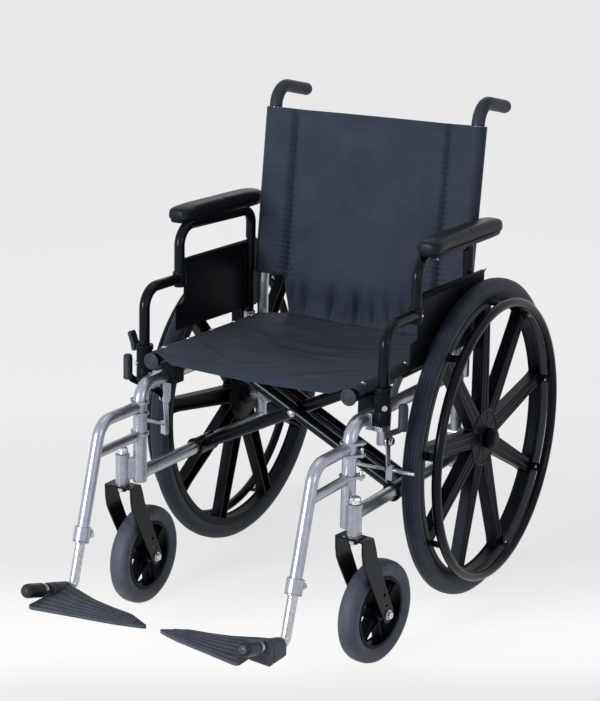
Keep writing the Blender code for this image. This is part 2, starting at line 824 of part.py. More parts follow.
for side, sign, steer_deg in (("left", 1, STEER_LEFT_DEG), ("right", -1, STEER_RIGHT_DEG)):
    stem_at = Vector((sign * barrel_x, barrel_y, 0))
    steered = Matrix.Translation(stem_at) @ Matrix.Rotation(math.radians(steer_deg), 4, "Z")
    centre = steered @ caster_at
    node("caster_fork_" + side, moved(fork, steered), "black_plastic", stem_at + Z_WAY * BARREL_BOTTOM)
    node("caster_axle_" + side, moved(caster_axle, steered @ upright), "zinc_steel", centre)
    node("caster_wheel_" + side, moved(caster_wheel, steered @ upright), "black_plastic", centre)
    node("caster_tyre_" + side, moved(caster_tyre, steered @ upright), "grey_rubber", centre)

# Cross brace. Each arm turns about the lower rail of one side by a sleeve,
# crosses the other at the middle bolt and carries the seat rail of the other
# side. The single arm passes between the two tubes of the double arm.
low_end = Vector((FRAME_X, 0, LOWER_RAIL_Z))
high_end = Vector((-seat_rail_x, 0, SEAT_RAIL_Z))
pivot_z = LOWER_RAIL_Z + (SEAT_RAIL_Z - LOWER_RAIL_Z) * FRAME_X / (FRAME_X + seat_rail_x)
pivot_at = Vector((0, BRACE_Y, pivot_z))
arm_pitch = 2 * BRACE_R + BRACE_GAP


def brace_arm(sleeve_long, tubes_y):
    """An arm with its sleeve, cut free of the rails and the bolt that pass through it."""
    sleeve_from = low_end + Y_WAY * (BRACE_Y - sleeve_long / 2)
    sleeve = rod(sleeve_from, sleeve_from + Y_WAY * sleeve_long, BRACE_SLEEVE_R, 16)
    tubes = [rod(low_end + Y_WAY * y, high_end + Y_WAY * y, BRACE_R) for y in tubes_y]
    before = Y_WAY * (BRACE_Y - sleeve_long)
    after = Y_WAY * (BRACE_Y + sleeve_long)
    middle = Vector((0, 0, pivot_z))
    return cut(
        joined(sleeve, *tubes),
        bore(low_end + before, low_end + after, TUBE_R + TURN_GAP),
        bore(high_end + before, high_end + after, TUBE_R + SEAT_GAP),
        bore(middle + before, middle + after, BRACE_BOLT_R + SEAT_GAP),
    )


double_arm = brace_arm(BRACE_SLEEVE_LONG, [BRACE_Y - arm_pitch, BRACE_Y + arm_pitch])
single_arm = mirrored(brace_arm(BRACE_SLEEVE_SHORT, [BRACE_Y]))
bolt_half = arm_pitch + BRACE_R + SEAT_GAP
bolt = turned(
    [
        (0, -bolt_half - 0.006),
        (0.006, -bolt_half - 0.005),
        (0.0085, -bolt_half),
        (BRACE_BOLT_R, -bolt_half + 0.0001),
        (BRACE_BOLT_R, bolt_half - 0.0001),
        (0.008, bolt_half),
        (0.008, bolt_half + 0.006),
        (0, bolt_half + 0.006),
    ],
    pivot_at,
    Y_WAY,
    12,
)
node("cross_arm_double", double_arm, "gloss_black", low_end + Y_WAY * BRACE_Y)
node("cross_arm_single", single_arm, "gloss_black", pivot_at)
node("cross_pivot_bolt", bolt, "zinc_steel", pivot_at)

# Seat rails, with closed ends, and the saddles that take them at the front.
seat_rail = turned(
    [
        (0, SEAT_RAIL_FRONT - 0.0025),
        (TUBE_R - 0.003, SEAT_RAIL_FRONT - 0.0025),
        (TUBE_R, SEAT_RAIL_FRONT),
        (TUBE_R, SEAT_RAIL_REAR),
        (0, SEAT_RAIL_REAR),
    ],
    seat_rail_at,
    Y_WAY,
    TUBE_SIDES,
)
pair("seat_rail", seat_rail, "gloss_black", seat_rail_at)
saddle_from = SADDLE_Y - SADDLE_LONG / 2
saddle_low_x = seat_rail_x - 0.0125
upper_rail_at = Vector((FRAME_X, 0, UPPER_RAIL_Z))
rail_bore_ends = (upper_rail_at - Y_WAY * 0.5, upper_rail_at - Y_WAY * 0.1)
saddle = cut(
    block(
        (saddle_low_x, saddle_from, UPPER_RAIL_Z - 0.012),
        (saddle_low_x + SADDLE_WIDE, saddle_from + SADDLE_LONG, SEAT_RAIL_Z - 0.0065),
    ),
    bore(seat_rail_at - Y_WAY * 0.5, seat_rail_at - Y_WAY * 0.1, TUBE_R + SEAT_GAP),
    bore(*rail_bore_ends, TUBE_R + SEAT_GAP),
    block((FRAME_X - 0.001, -0.5, UPPER_RAIL_Z - 0.03), (FRAME_X + 0.03, -0.1, UPPER_RAIL_Z)),
)
pair("rail_saddle", saddle, "black_plastic")

# Seat cloth, in two halves that meet over the middle. A half wraps its rail,
# sags toward the middle and turns down in a hem at the front.
wrap_r = TUBE_R / math.cos(math.pi / TUBE_SIDES) + CLOTH_GAP
seat_long = SEAT_REAR - SEAT_FRONT
seat_rows = [SEAT_FRONT, SEAT_FRONT + 0.006]
seat_rows += [SEAT_FRONT + HEM_LONG + (seat_long - HEM_LONG) * k / 7 for k in range(8)]
seat_outer = []
seat_inner = []
for y in seat_rows:
    hem = max(0.0, 1 - (y - SEAT_FRONT) / HEM_LONG)
    on_rail_y = min(max(y, SEAT_RAIL_FRONT + 0.001), SEAT_RAIL_REAR)
    rail_middle = Vector((seat_rail_x, on_rail_y, SEAT_RAIL_Z))
    outer_row = []
    inner_row = []
    for k in range(5):
        angle = math.radians(-10 + 100 * k / 4)
        way = Vector((math.cos(angle), 0, math.sin(angle)))
        inner_row.append(rail_middle + way * wrap_r)
        outer_row.append(rail_middle + way * (wrap_r + CLOTH))
    for k in range(8):
        inward = 0.014 + (seat_rail_x - HALF_GAP - 0.014) * k / 7
        share = inward / seat_rail_x
        free = min(1.0, share / 0.2)
        here_y = on_rail_y + (y - on_rail_y) * free
        pillow = 1 - 0.25 * math.cos(math.tau * (y - SEAT_FRONT) / seat_long)
        sag = SEAT_SAG * math.sin(math.pi / 2 * share) ** 1.5 * pillow
        drop = HEM_DROP * hem**1.6 * free
        top = Vector((seat_rail_x - inward, here_y, SEAT_RAIL_Z + wrap_r + CLOTH - sag - drop))
        outer_row.append(top)
        inner_row.append(top + Vector((0, CLOTH * hem**0.7 * free, -CLOTH * (1 - 0.3 * hem))))
    seat_outer.append(outer_row)
    seat_inner.append(inner_row)
pair("seat_sling", sheet(seat_outer, seat_inner), "slate_nylon", seat_rail_at)

# Back cloth, in two halves that meet behind the middle. A half has a pocket
# round its cane and, inside the seam, a panel that starts in front of the cane
# and bows back. The panel's hem hangs on below the pocket, behind the seat.
seam_x = FRAME_X - BACK_SEAM_IN
back_rows = 7
back_columns = 6


def panel_place(height, share):
    """The middle of the panel at a height along the cane and a share of the way from seam to middle."""
    middle = cane_point(BACK_BOTTOM + (BACK_TOP - BACK_BOTTOM) * height)
    bow = BACK_SEAM_AHEAD + BACK_BOW * (1 - 0.35 * height)
    behind = bow * math.sin(math.pi / 2 * share) - BACK_SEAM_AHEAD
    inward = BACK_SEAM_IN + (seam_x - HALF_GAP) * share
    return middle - X_WAY * inward - CANE_FORWARD * behind


back_front = []
back_behind = []
for i in range(back_rows):
    height = i / (back_rows - 1)
    middle = cane_point(BACK_BOTTOM + (BACK_TOP - BACK_BOTTOM) * height)
    places = []
    for k in range(5):
        angle = math.pi / 2 * k / 4
        places.append((middle + X_WAY * BACK_POCKET_R * math.cos(angle), BACK_POCKET_R * math.sin(angle)))
    for share in (0.4, 0.75):
        half_deep = BACK_PANEL / 2 + (BACK_POCKET_R - BACK_PANEL / 2) * (1 - share**2)
        ahead = CANE_FORWARD * BACK_SEAM_AHEAD * share**2
        places.append((middle - X_WAY * BACK_SEAM_IN * share + ahead, half_deep))
    for k in range(back_columns):
        places.append((panel_place(height, k / (back_columns - 1)), BACK_PANEL / 2))
    back_front.append([place + CANE_FORWARD * half for place, half in places])
    back_behind.append([place - CANE_FORWARD * half for place, half in places])
flap_front = []
flap_behind = []
flap_half = Y_WAY * BACK_PANEL * 0.4
for z, way in ((BACK_BOTTOM + 0.006, 0), (BACK_BOTTOM - 0.012, 0.3), (BACK_FLAP_Z + 0.030, 0.8), (BACK_FLAP_Z, 1)):
    row = []
    for k in range(back_columns):
        top = panel_place(0, (k + 0.25 * (k == 0)) / (back_columns - 1))
        hung = BACK_FLAP_BEHIND + 0.3 * (top.y + BACK_SEAM_AHEAD)
        row.append(Vector((top.x, top.y + (hung - top.y) * way, z)))
    flap_front.append([place - flap_half for place in row])
    flap_behind.append([place + flap_half for place in row])
pocket_low = cane_point(BACK_BOTTOM) - CANE_WAY * 0.05
pocket = bore(pocket_low, pocket_low + CANE_WAY * 0.5, CANE_R + CLOTH_GAP)
back_sling = joined(cut(sheet(back_front, back_behind), pocket), sheet(flap_front, flap_behind))
pair("back_sling", back_sling, "slate_nylon", cane_point(BACK_BOTTOM))

# Armrest frame. A low front tube steps up at a collar to the tube that
# carries the pad, and a thinner rear leg drops into its own socket.
arm_pivot = Vector((arm_x, ARM_FRONT_Y, SOCKET_TOP))
step_path = rounded_path(
    [(arm_x, ARM_FRONT_Y, ARM_FOOT_Z), (arm_x, ARM_FRONT_Y, ARM_STEP_Z), (arm_x, ARM_UPRIGHT_Y, ARM_STEP_Z)],
    ARM_BEND_R,
)
collar_low = Vector((arm_x, ARM_UPRIGHT_Y, ARM_STEP_Z - ARM_COLLAR_HIGH / 2))
rear_leg_top = ARM_TOP_Z - 0.050
top_path = rounded_path(
    [
        collar_low - Z_WAY * 0.003,
        (arm_x, ARM_UPRIGHT_Y, ARM_TOP_Z),
        (rear_x, ARM_REAR_Y, ARM_TOP_Z),
        (rear_x, ARM_REAR_Y, rear_leg_top),
    ],
    [ARM_BEND_R, 0.026],
)
armrest = joined(
    bar(top_path, ARM_TUBE_R, THIN_SIDES),
    bar(step_path, ARM_TUBE_R, THIN_SIDES),
    rod(collar_low, collar_low + Z_WAY * ARM_COLLAR_HIGH, ARM_TUBE_R + ARM_COLLAR_WALL, THIN_SIDES),
    rod(rear_foot + Z_WAY * SEAT_GAP, (rear_x, ARM_REAR_Y, rear_leg_top + 0.004), ARM_REAR_R, THIN_SIDES),
)
pair("armrest_frame", armrest, "gloss_black", arm_pivot)

# Arm pad: a moulded cushion with a crowned top and drawn-in lower edges.
pad_x = FRAME_X + PAD_OUT
pad_low = ARM_TOP_Z + ARM_TUBE_R + SEAT_GAP
half_outline = [(0.90, 0.0), (1.0, 0.2), (1.0, 0.58), (0.80, 0.90)]
pad_outline = half_outline + [(0.0, 1.0)] + [(-a, b) for a, b in reversed(half_outline)]
pad_sections = []
for inset, grow in ((0, 0.62), (0.005, 0.87), (0.016, 1.0)):
    high = PAD_HIGH * (0.75 + 0.25 * grow)
    for y in (PAD_FRONT + inset, PAD_REAR - inset):
        section = [Vector((pad_x + PAD_HALF * grow * a, y, pad_low + high * b)) for a, b in pad_outline]
        pad_sections.append(section)
pad_sections.sort(key=lambda section: section[0].y)
pair("arm_pad", loft(pad_sections), "black_vinyl", arm_pivot)

# Side guard: a thin panel under the pad, with a lip that flares out over the
# wheel at the top.
guard_low = arm_x - GUARD_IN - GUARD_THICK / 2
guard_high = guard_low + GUARD_THICK
guard_front = ARM_UPRIGHT_Y + ARM_TUBE_R + ARM_COLLAR_WALL + SEAT_GAP
guard = panel(
    [
        (guard_front, GUARD_TOP),
        (guard_front, GUARD_STEP_Z + 0.003),
        (GUARD_STEP_Y, GUARD_STEP_Z - 0.003),
        (GUARD_STEP_Y, GUARD_BOTTOM + 0.002),
        (GUARD_REAR - 0.008, GUARD_BOTTOM - 0.002),
        (GUARD_REAR, GUARD_BOTTOM + 0.010),
        (GUARD_REAR, GUARD_TOP - 0.004),
    ],
    guard_low,
    guard_high,
    "x",
)
lip = panel(
    [
        (guard_low + 0.0001, GUARD_TOP - 0.014),
        (guard_high - 0.0001, GUARD_TOP - 0.014),
        (guard_high + GUARD_LIP, GUARD_TOP + 0.005),
        (guard_high + GUARD_LIP - 0.0015, GUARD_TOP + 0.0065),
        (guard_low + 0.0001, GUARD_TOP - 0.009),
    ],
    GUARD_REAR - GUARD_LIP_LONG - 0.002,
    GUARD_REAR - 0.002,
    "y",
)
pair("side_guard", joined(guard, lip), "black_plastic", arm_pivot)

# Front arm socket: a blind cup with a thicker lip, held by the frame's tab.
lip_r = socket_r + SOCKET_LIP
arm_foot = Vector((arm_x, ARM_FRONT_Y, ARM_FOOT_Z - SEAT_GAP))
arm_socket = turned(
    [
        (0, socket_low),
        (socket_r - 0.003, socket_low),
        (socket_r, socket_low + 0.005),
        (socket_r, SOCKET_TOP - 0.010),
        (lip_r, SOCKET_TOP - 0.009),
        (lip_r, SOCKET_TOP),
        (0, SOCKET_TOP),
    ],
    (arm_x, ARM_FRONT_Y, 0),
    Z_WAY,
    TUBE_SIDES,
)
arm_socket = cut(arm_socket, bore(arm_foot, arm_foot + Z_WAY * 0.1, ARM_TUBE_R + SEAT_GAP))
pair("arm_socket", arm_socket, "black_plastic")

# Release paddle on the outside of the front socket, hinged at its lower edge.
paddle_x = arm_x + lip_r + SEAT_GAP
paddle_z = SOCKET_TOP - 0.014
release = panel(
    [
        (paddle_x, paddle_z),
        (paddle_x + 0.006, paddle_z),
        (paddle_x + 0.009, paddle_z + RELEASE_HIGH * 0.35),
        (paddle_x + 0.0155, paddle_z + RELEASE_HIGH * 0.85),
        (paddle_x + 0.013, paddle_z + RELEASE_HIGH),
        (paddle_x + 0.008, paddle_z + RELEASE_HIGH * 0.95),
        (paddle_x + 0.003, paddle_z + RELEASE_HIGH * 0.5),
        (paddle_x, paddle_z + RELEASE_HIGH * 0.4),
    ],
    ARM_FRONT_Y - RELEASE_WIDE / 2,
    ARM_FRONT_Y + RELEASE_WIDE / 2,
    "y",
)
pair("arm_release_lever", release, "black_plastic", (paddle_x, ARM_FRONT_Y, paddle_z))

# Hanger: a bent tube and a brace, hung on the post by two ring plates, so
# that it swings about the post.
tilt = math.radians(HANGER_TILT_DEG)
DOWN = Vector((0, -math.sin(tilt), -math.cos(tilt)))
AHEAD = Vector((0, -math.cos(tilt), math.sin(tilt)))


def on_leg(z):
    """The middle of the hanger's leg at a height."""
    return Vector((FRAME_X, HANGER_FRONT, HANGER_Z)) + DOWN * ((HANGER_Z - z) / math.cos(tilt))


def ring_plate(z):
    """A plate round the post with an ear on its outer side."""
    outline = []
    for degrees in range(120, 361, 40):
        angle = math.radians(degrees)
        outline.append((FRAME_X + RING_R * math.cos(angle), POST_Y + RING_R * math.sin(angle)))
    for x, y in ((0.024, 0.004), (0.024, 0.015), (0.012, 0.020)):
        outline.append((FRAME_X + x, POST_Y + y))
    return panel(outline, z, z + RING_THICK, "z")


def catch_pin(z):
    """The upright pin in a ring plate's ear."""
    low = Vector((FRAME_X + 0.018, POST_Y + 0.0115, z))
    return rod(low, low + Z_WAY * CATCH_PIN_LONG, CATCH_PIN_R, 8)


hanger_pivot = Vector((FRAME_X, POST_Y, HANGER_Z))
hanger_end = on_leg(HANGER_END_Z)
hanger_path = rounded_path(
    [hanger_pivot, (FRAME_X, HANGER_FRONT, HANGER_Z), hanger_end],
    HANGER_BEND_R,
    18.0,
)
hanger = joined(
    bar(hanger_path, HANGER_R, THIN_SIDES),
    rod((FRAME_X, POST_Y, HANGER_BRACE_Z), on_leg(HANGER_BRACE_Z), HANGER_BRACE_R, THIN_SIDES),
    ring_plate(HANGER_Z - 0.015),
    ring_plate(HANGER_BRACE_Z + 0.001),
    catch_pin(HANGER_Z - 0.018),
    catch_pin(HANGER_BRACE_Z - 0.004),
)
post_low = hanger_pivot - Z_WAY * (HANGER_Z - HANGER_BRACE_Z + 0.03)
hanger = cut(
    hanger,
    bore(post_low, hanger_pivot + Z_WAY * 0.03, TUBE_R + HINGE_GAP),
    bore(hanger_end + DOWN * 0.01, hanger_end - DOWN * (EXTENSION_INSIDE + 0.002), EXTENSION_R + SEAT_GAP),
)
pair("hanger", hanger, "satin_silver", hanger_pivot)

# Height clamp at the hanger's lower end, with an ear and a bolt behind.
clamp_r = HANGER_R + SEAT_GAP + CLAMP_WALL
clamp_middle = hanger_end - DOWN * (CLAMP_LONG / 2 - 0.004)
ear_at = clamp_middle - AHEAD * (clamp_r + 0.004)
clamp = joined(
    rod(clamp_middle - DOWN * CLAMP_LONG / 2, clamp_middle + DOWN * CLAMP_LONG / 2, clamp_r),
    block(ear_at - Vector((0.006, 0.007, 0.007)), ear_at + Vector((0.006, 0.006, 0.007))),
    rod(ear_at - X_WAY * 0.011, ear_at + X_WAY * 0.012, 0.0046, 8),
)
clamp = cut(clamp, bore(clamp_middle - DOWN * 0.05, clamp_middle + DOWN * 0.05, HANGER_R + SEAT_GAP))
pair("hanger_clamp", clamp, "zinc_steel", hanger_pivot)

# Footrest extension: a thinner tube that slides in the hanger's leg and ends
# in a stub, square to it, with a collar at the stub's end.
stub_from = on_leg(STUB_Z)
barrel_to = stub_from + AHEAD * (PLATE_BARREL_START + PLATE_BARREL_LONG)
collar_from = barrel_to + AHEAD * TURN_GAP
knob_from = collar_from + AHEAD * STUB_COLLAR_LONG
extension = joined(
    rod(hanger_end - DOWN * EXTENSION_INSIDE, stub_from + DOWN * 0.009, EXTENSION_R),
    rod(stub_from, knob_from, STUB_R),
    rod(collar_from, knob_from, STUB_R + STUB_COLLAR_WALL),
)
pair("footrest_extension", extension, "satin_silver", hanger_pivot)
knob = turned(
    [
        (0, 0),
        (KNOB_R - 0.001, 0),
        (KNOB_R, 0.002),
        (KNOB_R, KNOB_LONG * 0.75),
        (KNOB_R * 0.75, KNOB_LONG * 0.94),
        (0, KNOB_LONG),
    ],
    knob_from + AHEAD * SEAT_GAP,
    AHEAD,
    12,
)
pair("footrest_knob", knob, "black_plastic", hanger_pivot)

# Footplate: a grooved tread with a pointed inner end, and a barrel that flips
# up round the stub.
plate_low = PLATE_TOP - PLATE_THICK
plate_barrel_r = STUB_R + TURN_GAP + PLATE_BARREL_WALL
plate_x = FRAME_X - 0.004
barrel_from = stub_from + AHEAD * PLATE_BARREL_START
tread = panel(
    [
        (plate_x, barrel_from.y - 0.003),
        (plate_x, PLATE_TOE_Y + 0.004),
        (plate_x - 0.008, PLATE_TOE_Y),
        (0.060, PLATE_TIP_Y - 0.024),
        (PLATE_TIP_X + 0.014, PLATE_TIP_Y - 0.009),
        (PLATE_TIP_X, PLATE_TIP_Y),
        (PLATE_TIP_X + 0.014, PLATE_TIP_Y + 0.008),
        (0.060, PLATE_TIP_Y + 0.021),
        (0.150, barrel_from.y - 0.012),
    ],
    plate_low,
    PLATE_TOP,
    "z",
)
grooves = []
for k in range(PLATE_RIBS - 1):
    y = PLATE_TIP_Y - 0.034 + 0.016 * k
    start_x = 0.062 + 0.014 * abs(k - 1.4)
    low = Vector((start_x, y, PLATE_TOP - PLATE_GROOVE))
    grooves.append(block(low, (plate_x - 0.034, y + 0.004, PLATE_TOP + 0.01)))
root = panel(
    [
        (barrel_from.y - 0.002, plate_low + 0.001),
        (barrel_from.y - 0.002, barrel_from.z),
        (barrel_to.y + 0.002, barrel_to.z),
        (barrel_to.y + 0.002, plate_low + 0.001),
    ],
    FRAME_X - 0.026,
    FRAME_X + 0.002,
    "x",
)
footplate = joined(cut(tread, *grooves), root, rod(barrel_from, barrel_to, plate_barrel_r))
footplate = cut(footplate, bore(stub_from, stub_from + AHEAD * 0.12, STUB_R + TURN_GAP))
pair("footplate", footplate, "black_plastic", stub_from)

# Wheel lock. The bracket hugs the upper rail and carries the pivot bolt, on
# which the shoe arm and the lever turn, side by side.
lock_at = Vector((lock_x, LOCK_Y, LOCK_Z))
shoe_x = lock_x + LOCK_STRAP + TURN_GAP
lever_x = shoe_x + LOCK_STRAP + TURN_GAP
head_x = lever_x + LOCK_STRAP + TURN_GAP
eye_r = 0.010
bracket_plate = panel(
    [
        (LOCK_Y - 0.010, LOCK_Z - 0.010),
        (LOCK_Y + 0.010, LOCK_Z - 0.010),
        (LOCK_Y + 0.014, UPPER_RAIL_Z),
        (LOCK_Y + 0.008, LOCK_TOP),
        (LOCK_Y - 0.010, LOCK_TOP),
        (LOCK_Y - 0.014, UPPER_RAIL_Z),
    ],
    lock_x,
    lock_x + LOCK_STRAP,
    "x",
)
bracket_hook = block(
    (FRAME_X + 0.004, LOCK_Y - 0.0135, UPPER_RAIL_Z + 0.004),
    (lock_x + LOCK_STRAP - 0.001, LOCK_Y + 0.0135, UPPER_RAIL_Z + 0.018),
)
bracket = joined(
    bracket_plate,
    bracket_hook,
    rod(lock_at + X_WAY * 0.0005, (head_x + 0.004, LOCK_Y, LOCK_Z), LOCK_BOLT_R, 10),
    rod((head_x, LOCK_Y, LOCK_Z), (head_x + 0.005, LOCK_Y, LOCK_Z), 0.0078, 10),
)
pair("lock_bracket", cut(bracket, bore(*rail_bore_ends, TUBE_R + SEAT_GAP)), "zinc_steel")


def lock_eye(x):
    """The round end of a strap at the lock's bolt."""
    return rod((x, LOCK_Y, LOCK_Z), (x + LOCK_STRAP, LOCK_Y, LOCK_Z), eye_r)


bolt_bore_ends = (lock_at - X_WAY * 0.01, lock_at + X_WAY * 0.05)

# Lock shoe: a strap down to a block with the rod that bears on the tyre. When
# the lock is off, the rod stands clear of the tread.
tread_y = -math.sqrt(tread_r**2 - (LOCK_ROD_Z - WHEEL_R) ** 2)
rod_y = tread_y - LOCK_ROD_CLEAR - LOCK_ROD_R
shoe = joined(
    lock_eye(shoe_x),
    panel(
        [
            (LOCK_Y - 0.007, LOCK_Z),
            (LOCK_Y + 0.007, LOCK_Z),
            (rod_y + 0.006, LOCK_ROD_Z + 0.004),
            (rod_y + 0.006, LOCK_ROD_Z - 0.020),
            (rod_y - 0.007, LOCK_ROD_Z - 0.020),
            (rod_y - 0.007, LOCK_ROD_Z + 0.004),
        ],
        shoe_x + 0.0002,
        shoe_x + LOCK_STRAP - 0.0002,
        "x",
    ),
    block((shoe_x, rod_y - 0.006, LOCK_ROD_Z - 0.019), (shoe_x + 0.012, rod_y + 0.005, LOCK_ROD_Z + 0.008)),
    rod((shoe_x + 0.004, rod_y, LOCK_ROD_Z), (wheel_x + TYRE_HALF + 0.002, rod_y, LOCK_ROD_Z), LOCK_ROD_R, 8),
)
shoe = cut(shoe, bore(*bolt_bore_ends, LOCK_BOLT_R + TURN_GAP, 10))
pair("lock_shoe", shoe, "zinc_steel", lock_at)

# Lock lever: a strap that leads up, forward and out to an upright grip.
grip_foot = Vector((LOCK_GRIP_X, LOCK_GRIP_Y, LOCK_TOP - LOCK_GRIP_LONG))
strap_middle = Vector((lever_x + LOCK_STRAP / 2, LOCK_Y, LOCK_Z))
strap_path = [
    strap_middle + Vector((0, 0.002, -0.002)),
    strap_middle + Vector((0, -0.013, 0.013)),
    grip_foot + Vector((-LOCK_GRIP_R * 0.4, 0.003, 0.004)),
]
strap_across = Vector((0, 0.7, 0.7)) * 0.007
strap_thick = X_WAY * (LOCK_STRAP / 2 - 0.0002)
strap_sections = []
for place in strap_path:
    corners = ((-1, -1), (1, -1), (1, 1), (-1, 1))
    strap_sections.append([place + strap_thick * a + strap_across * b for a, b in corners])
lever_grip = turned(
    [
        (0, 0),
        (LOCK_GRIP_R - 0.001, 0),
        (LOCK_GRIP_R, 0.003),
        (LOCK_GRIP_R, LOCK_GRIP_LONG - 0.006),
        (LOCK_GRIP_R * 0.7, LOCK_GRIP_LONG - 0.001),
        (0, LOCK_GRIP_LONG),
    ],
    grip_foot,
    Z_WAY,
    12,
)
lever = joined(lock_eye(lever_x), loft(strap_sections), lever_grip)
lever = cut(lever, bore(*bolt_bore_ends, LOCK_BOLT_R + TURN_GAP, 10))
pair("lock_lever", lever, "black_plastic", lock_at)

# The origin goes under the middle of the footprint, so everything is moved
# along Y by the middle of its reach.
bpy.context.view_layer.update()
reach = []
for piece in leaning.children + level.children:
    reach += [(piece.matrix_world @ vertex.co).y for vertex in piece.data.vertices]
for carrier in (leaning, level):
    carrier.location.y -= (min(reach) + max(reach)) / 2
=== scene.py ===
"""A folding wheelchair with moulded rear wheels, lift-out armrests and swing-away footrests.

The sections follow the chair as it is put together. Each piece is drawn for
the left side, level and in metres, and its mirror image serves the right. The
frame's lean is given to the finished piece.
"""

import math

import bmesh
import bpy
from mathutils import Matrix, Vector, noise


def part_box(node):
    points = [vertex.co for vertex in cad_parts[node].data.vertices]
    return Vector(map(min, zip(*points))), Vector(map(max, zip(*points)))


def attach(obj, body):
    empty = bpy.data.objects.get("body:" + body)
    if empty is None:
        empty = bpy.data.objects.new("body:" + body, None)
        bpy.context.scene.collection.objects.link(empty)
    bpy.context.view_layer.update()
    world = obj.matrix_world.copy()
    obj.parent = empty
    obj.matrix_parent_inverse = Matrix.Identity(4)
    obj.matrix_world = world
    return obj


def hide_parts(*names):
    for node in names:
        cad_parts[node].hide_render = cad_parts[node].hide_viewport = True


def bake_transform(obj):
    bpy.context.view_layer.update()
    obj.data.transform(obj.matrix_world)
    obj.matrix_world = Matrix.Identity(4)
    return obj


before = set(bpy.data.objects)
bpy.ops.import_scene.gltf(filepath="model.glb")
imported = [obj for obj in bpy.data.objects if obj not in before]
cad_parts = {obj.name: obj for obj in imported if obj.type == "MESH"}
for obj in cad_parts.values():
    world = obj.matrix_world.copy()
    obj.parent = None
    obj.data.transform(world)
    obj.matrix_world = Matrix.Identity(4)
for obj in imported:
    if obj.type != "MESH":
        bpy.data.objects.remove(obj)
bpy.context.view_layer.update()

# Studio. A wide sweep of pale paper under large soft lamps, as for a catalogue
# picture. The camera stands at the front left, above the arm pads, and looks
# down at the seat.


def srgb(code):
    """A colour written as sRGB hex, in linear light."""
    parts = [int(code[k : k + 2], 16) / 255 for k in (1, 3, 5)]
    lit = [c / 12.92 if c <= 0.04045 else ((c + 0.055) / 1.055) ** 2.4 for c in parts]
    return (*lit, 1)


def put(tree, kind, sockets=None, **settings):
    """A new shader node; sockets maps its inputs to values or to other nodes' outputs."""
    added = tree.nodes.new("ShaderNode" + kind)
    for key, value in settings.items():
        setattr(added, key, value)
    for key, value in (sockets or {}).items():
        if isinstance(value, bpy.types.NodeSocket):
            tree.links.new(value, added.inputs[key])
        else:
            added.inputs[key].default_value = value
    return added


tyre_low, tyre_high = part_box("wheel_tyre_left")
AXLE_Y = (tyre_low.y + tyre_high.y) / 2

camera = bpy.data.objects.new("camera", bpy.data.cameras.new("camera"))
camera.data.lens = 92.44
camera.data.sensor_width = 36
camera.location = (1.6118, AXLE_Y - 2.9655, 1.4651)
sight = Vector((-0.0203, AXLE_Y - 0.1824, 0.4792)) - camera.location
camera.rotation_euler = sight.to_track_quat("-Z", "Y").to_euler()
bpy.context.collection.objects.link(camera)
bpy.context.scene.camera = camera
bpy.context.scene.view_settings.view_transform = "Standard"

# Each lamp: where it stands, its size in metres and its watts
LAMPS = (
    ("key", (-0.9, -3.4, 1.3), 1.0, 92),
    ("side", (3.3, -1.2, 1.3), 1.0, 12),
    ("top", (0.1, 0.2, 3.1), 1.5, 6),
    ("behind", (-1.2, 3.0, 1.9), 1.2, 5),
)
for name, place, wide, watts in LAMPS:
    lamp = bpy.data.objects.new("lamp_" + name, bpy.data.lights.new(name, "AREA"))
    lamp.data.size = wide
    lamp.data.energy = watts
    lamp.location = place
    lamp.rotation_euler = (Vector((0, 0, 0.45)) - lamp.location).to_track_quat("-Z", "Y").to_euler()
    bpy.context.collection.objects.link(lamp)


def seen_ray(tree):
    """1 for a ray from the camera or off something shiny, and 0 for the light itself."""
    path = put(tree, "LightPath")
    rays = [path.outputs[f"Is {kind} Ray"] for kind in ("Camera", "Glossy", "Transmission")]
    shiny = put(tree, "Math", {0: rays[1], 1: rays[2]}, operation="MAXIMUM")
    return put(tree, "Math", {0: rays[0], 1: shiny.outputs[0]}, operation="MAXIMUM").outputs[0]


world = bpy.data.worlds.new("studio")
world.use_nodes = True
bpy.context.scene.world = world
sky = world.node_tree
sky.nodes.clear()
fill_light = put(sky, "Background", {"Color": srgb("#dde1ea"), "Strength": 0.26})
wall = put(sky, "Background", {"Color": srgb("#e8e9ec"), "Strength": 0.9})
both = put(sky, "MixShader", {0: seen_ray(sky), 1: fill_light.outputs[0], 2: wall.outputs[0]})
put(sky, "OutputWorld", {"Surface": both.outputs[0]})

# The paper's tone is painted with light: a brighter band in front of the chair and a falloff away from the camera, a
# painted pool of the studio light, as in the picture
sweep = bmesh.new()
bmesh.ops.create_grid(sweep, x_segments=1, y_segments=1, size=40)
floor_mesh = bpy.data.meshes.new("floor")
sweep.to_mesh(floor_mesh)
sweep.free()
floor = bpy.data.objects.new("floor", floor_mesh)
bpy.context.collection.objects.link(floor)
paper = bpy.data.materials.new("pale_paper_sweep")
paper.use_nodes = True
tree = paper.node_tree
tree.nodes.clear()
spot = put(tree, "NewGeometry")
AWAY = (-0.506, 0.8625, 0)
along = put(tree, "VectorMath", {0: spot.outputs["Position"], 1: AWAY}, operation="DOT_PRODUCT")
tone = put(tree, "MapRange", {"Value": along.outputs["Value"], "From Min": -0.5, "From Max": 3.5})
tone = put(tree, "ValToRGB", {0: tone.outputs[0]})
PAINTED_LIGHT_TONES = (
    (0, "#eaeaeb"), (0.03, "#efeff0"), (0.06, "#fefeff"), (0.09, "#ffffff"), (0.13, "#f4f4f5"), (0.17, "#ebebec"),
    (0.26, "#eaeaeb"), (0.4, "#f2f2f3"), (1, "#f1f1f2"),
)
for place, colour in PAINTED_LIGHT_TONES[1:-1]:
    tone.color_ramp.elements.new(place)
for stop, (place, colour) in zip(tone.color_ramp.elements, PAINTED_LIGHT_TONES):
    stop.position = place
    stop.color = srgb(colour)
# The painted light of the ramp feeds both the lit and the glowing share of the paper
matt = put(tree, "BsdfDiffuse", {"Color": tone.outputs[0]})
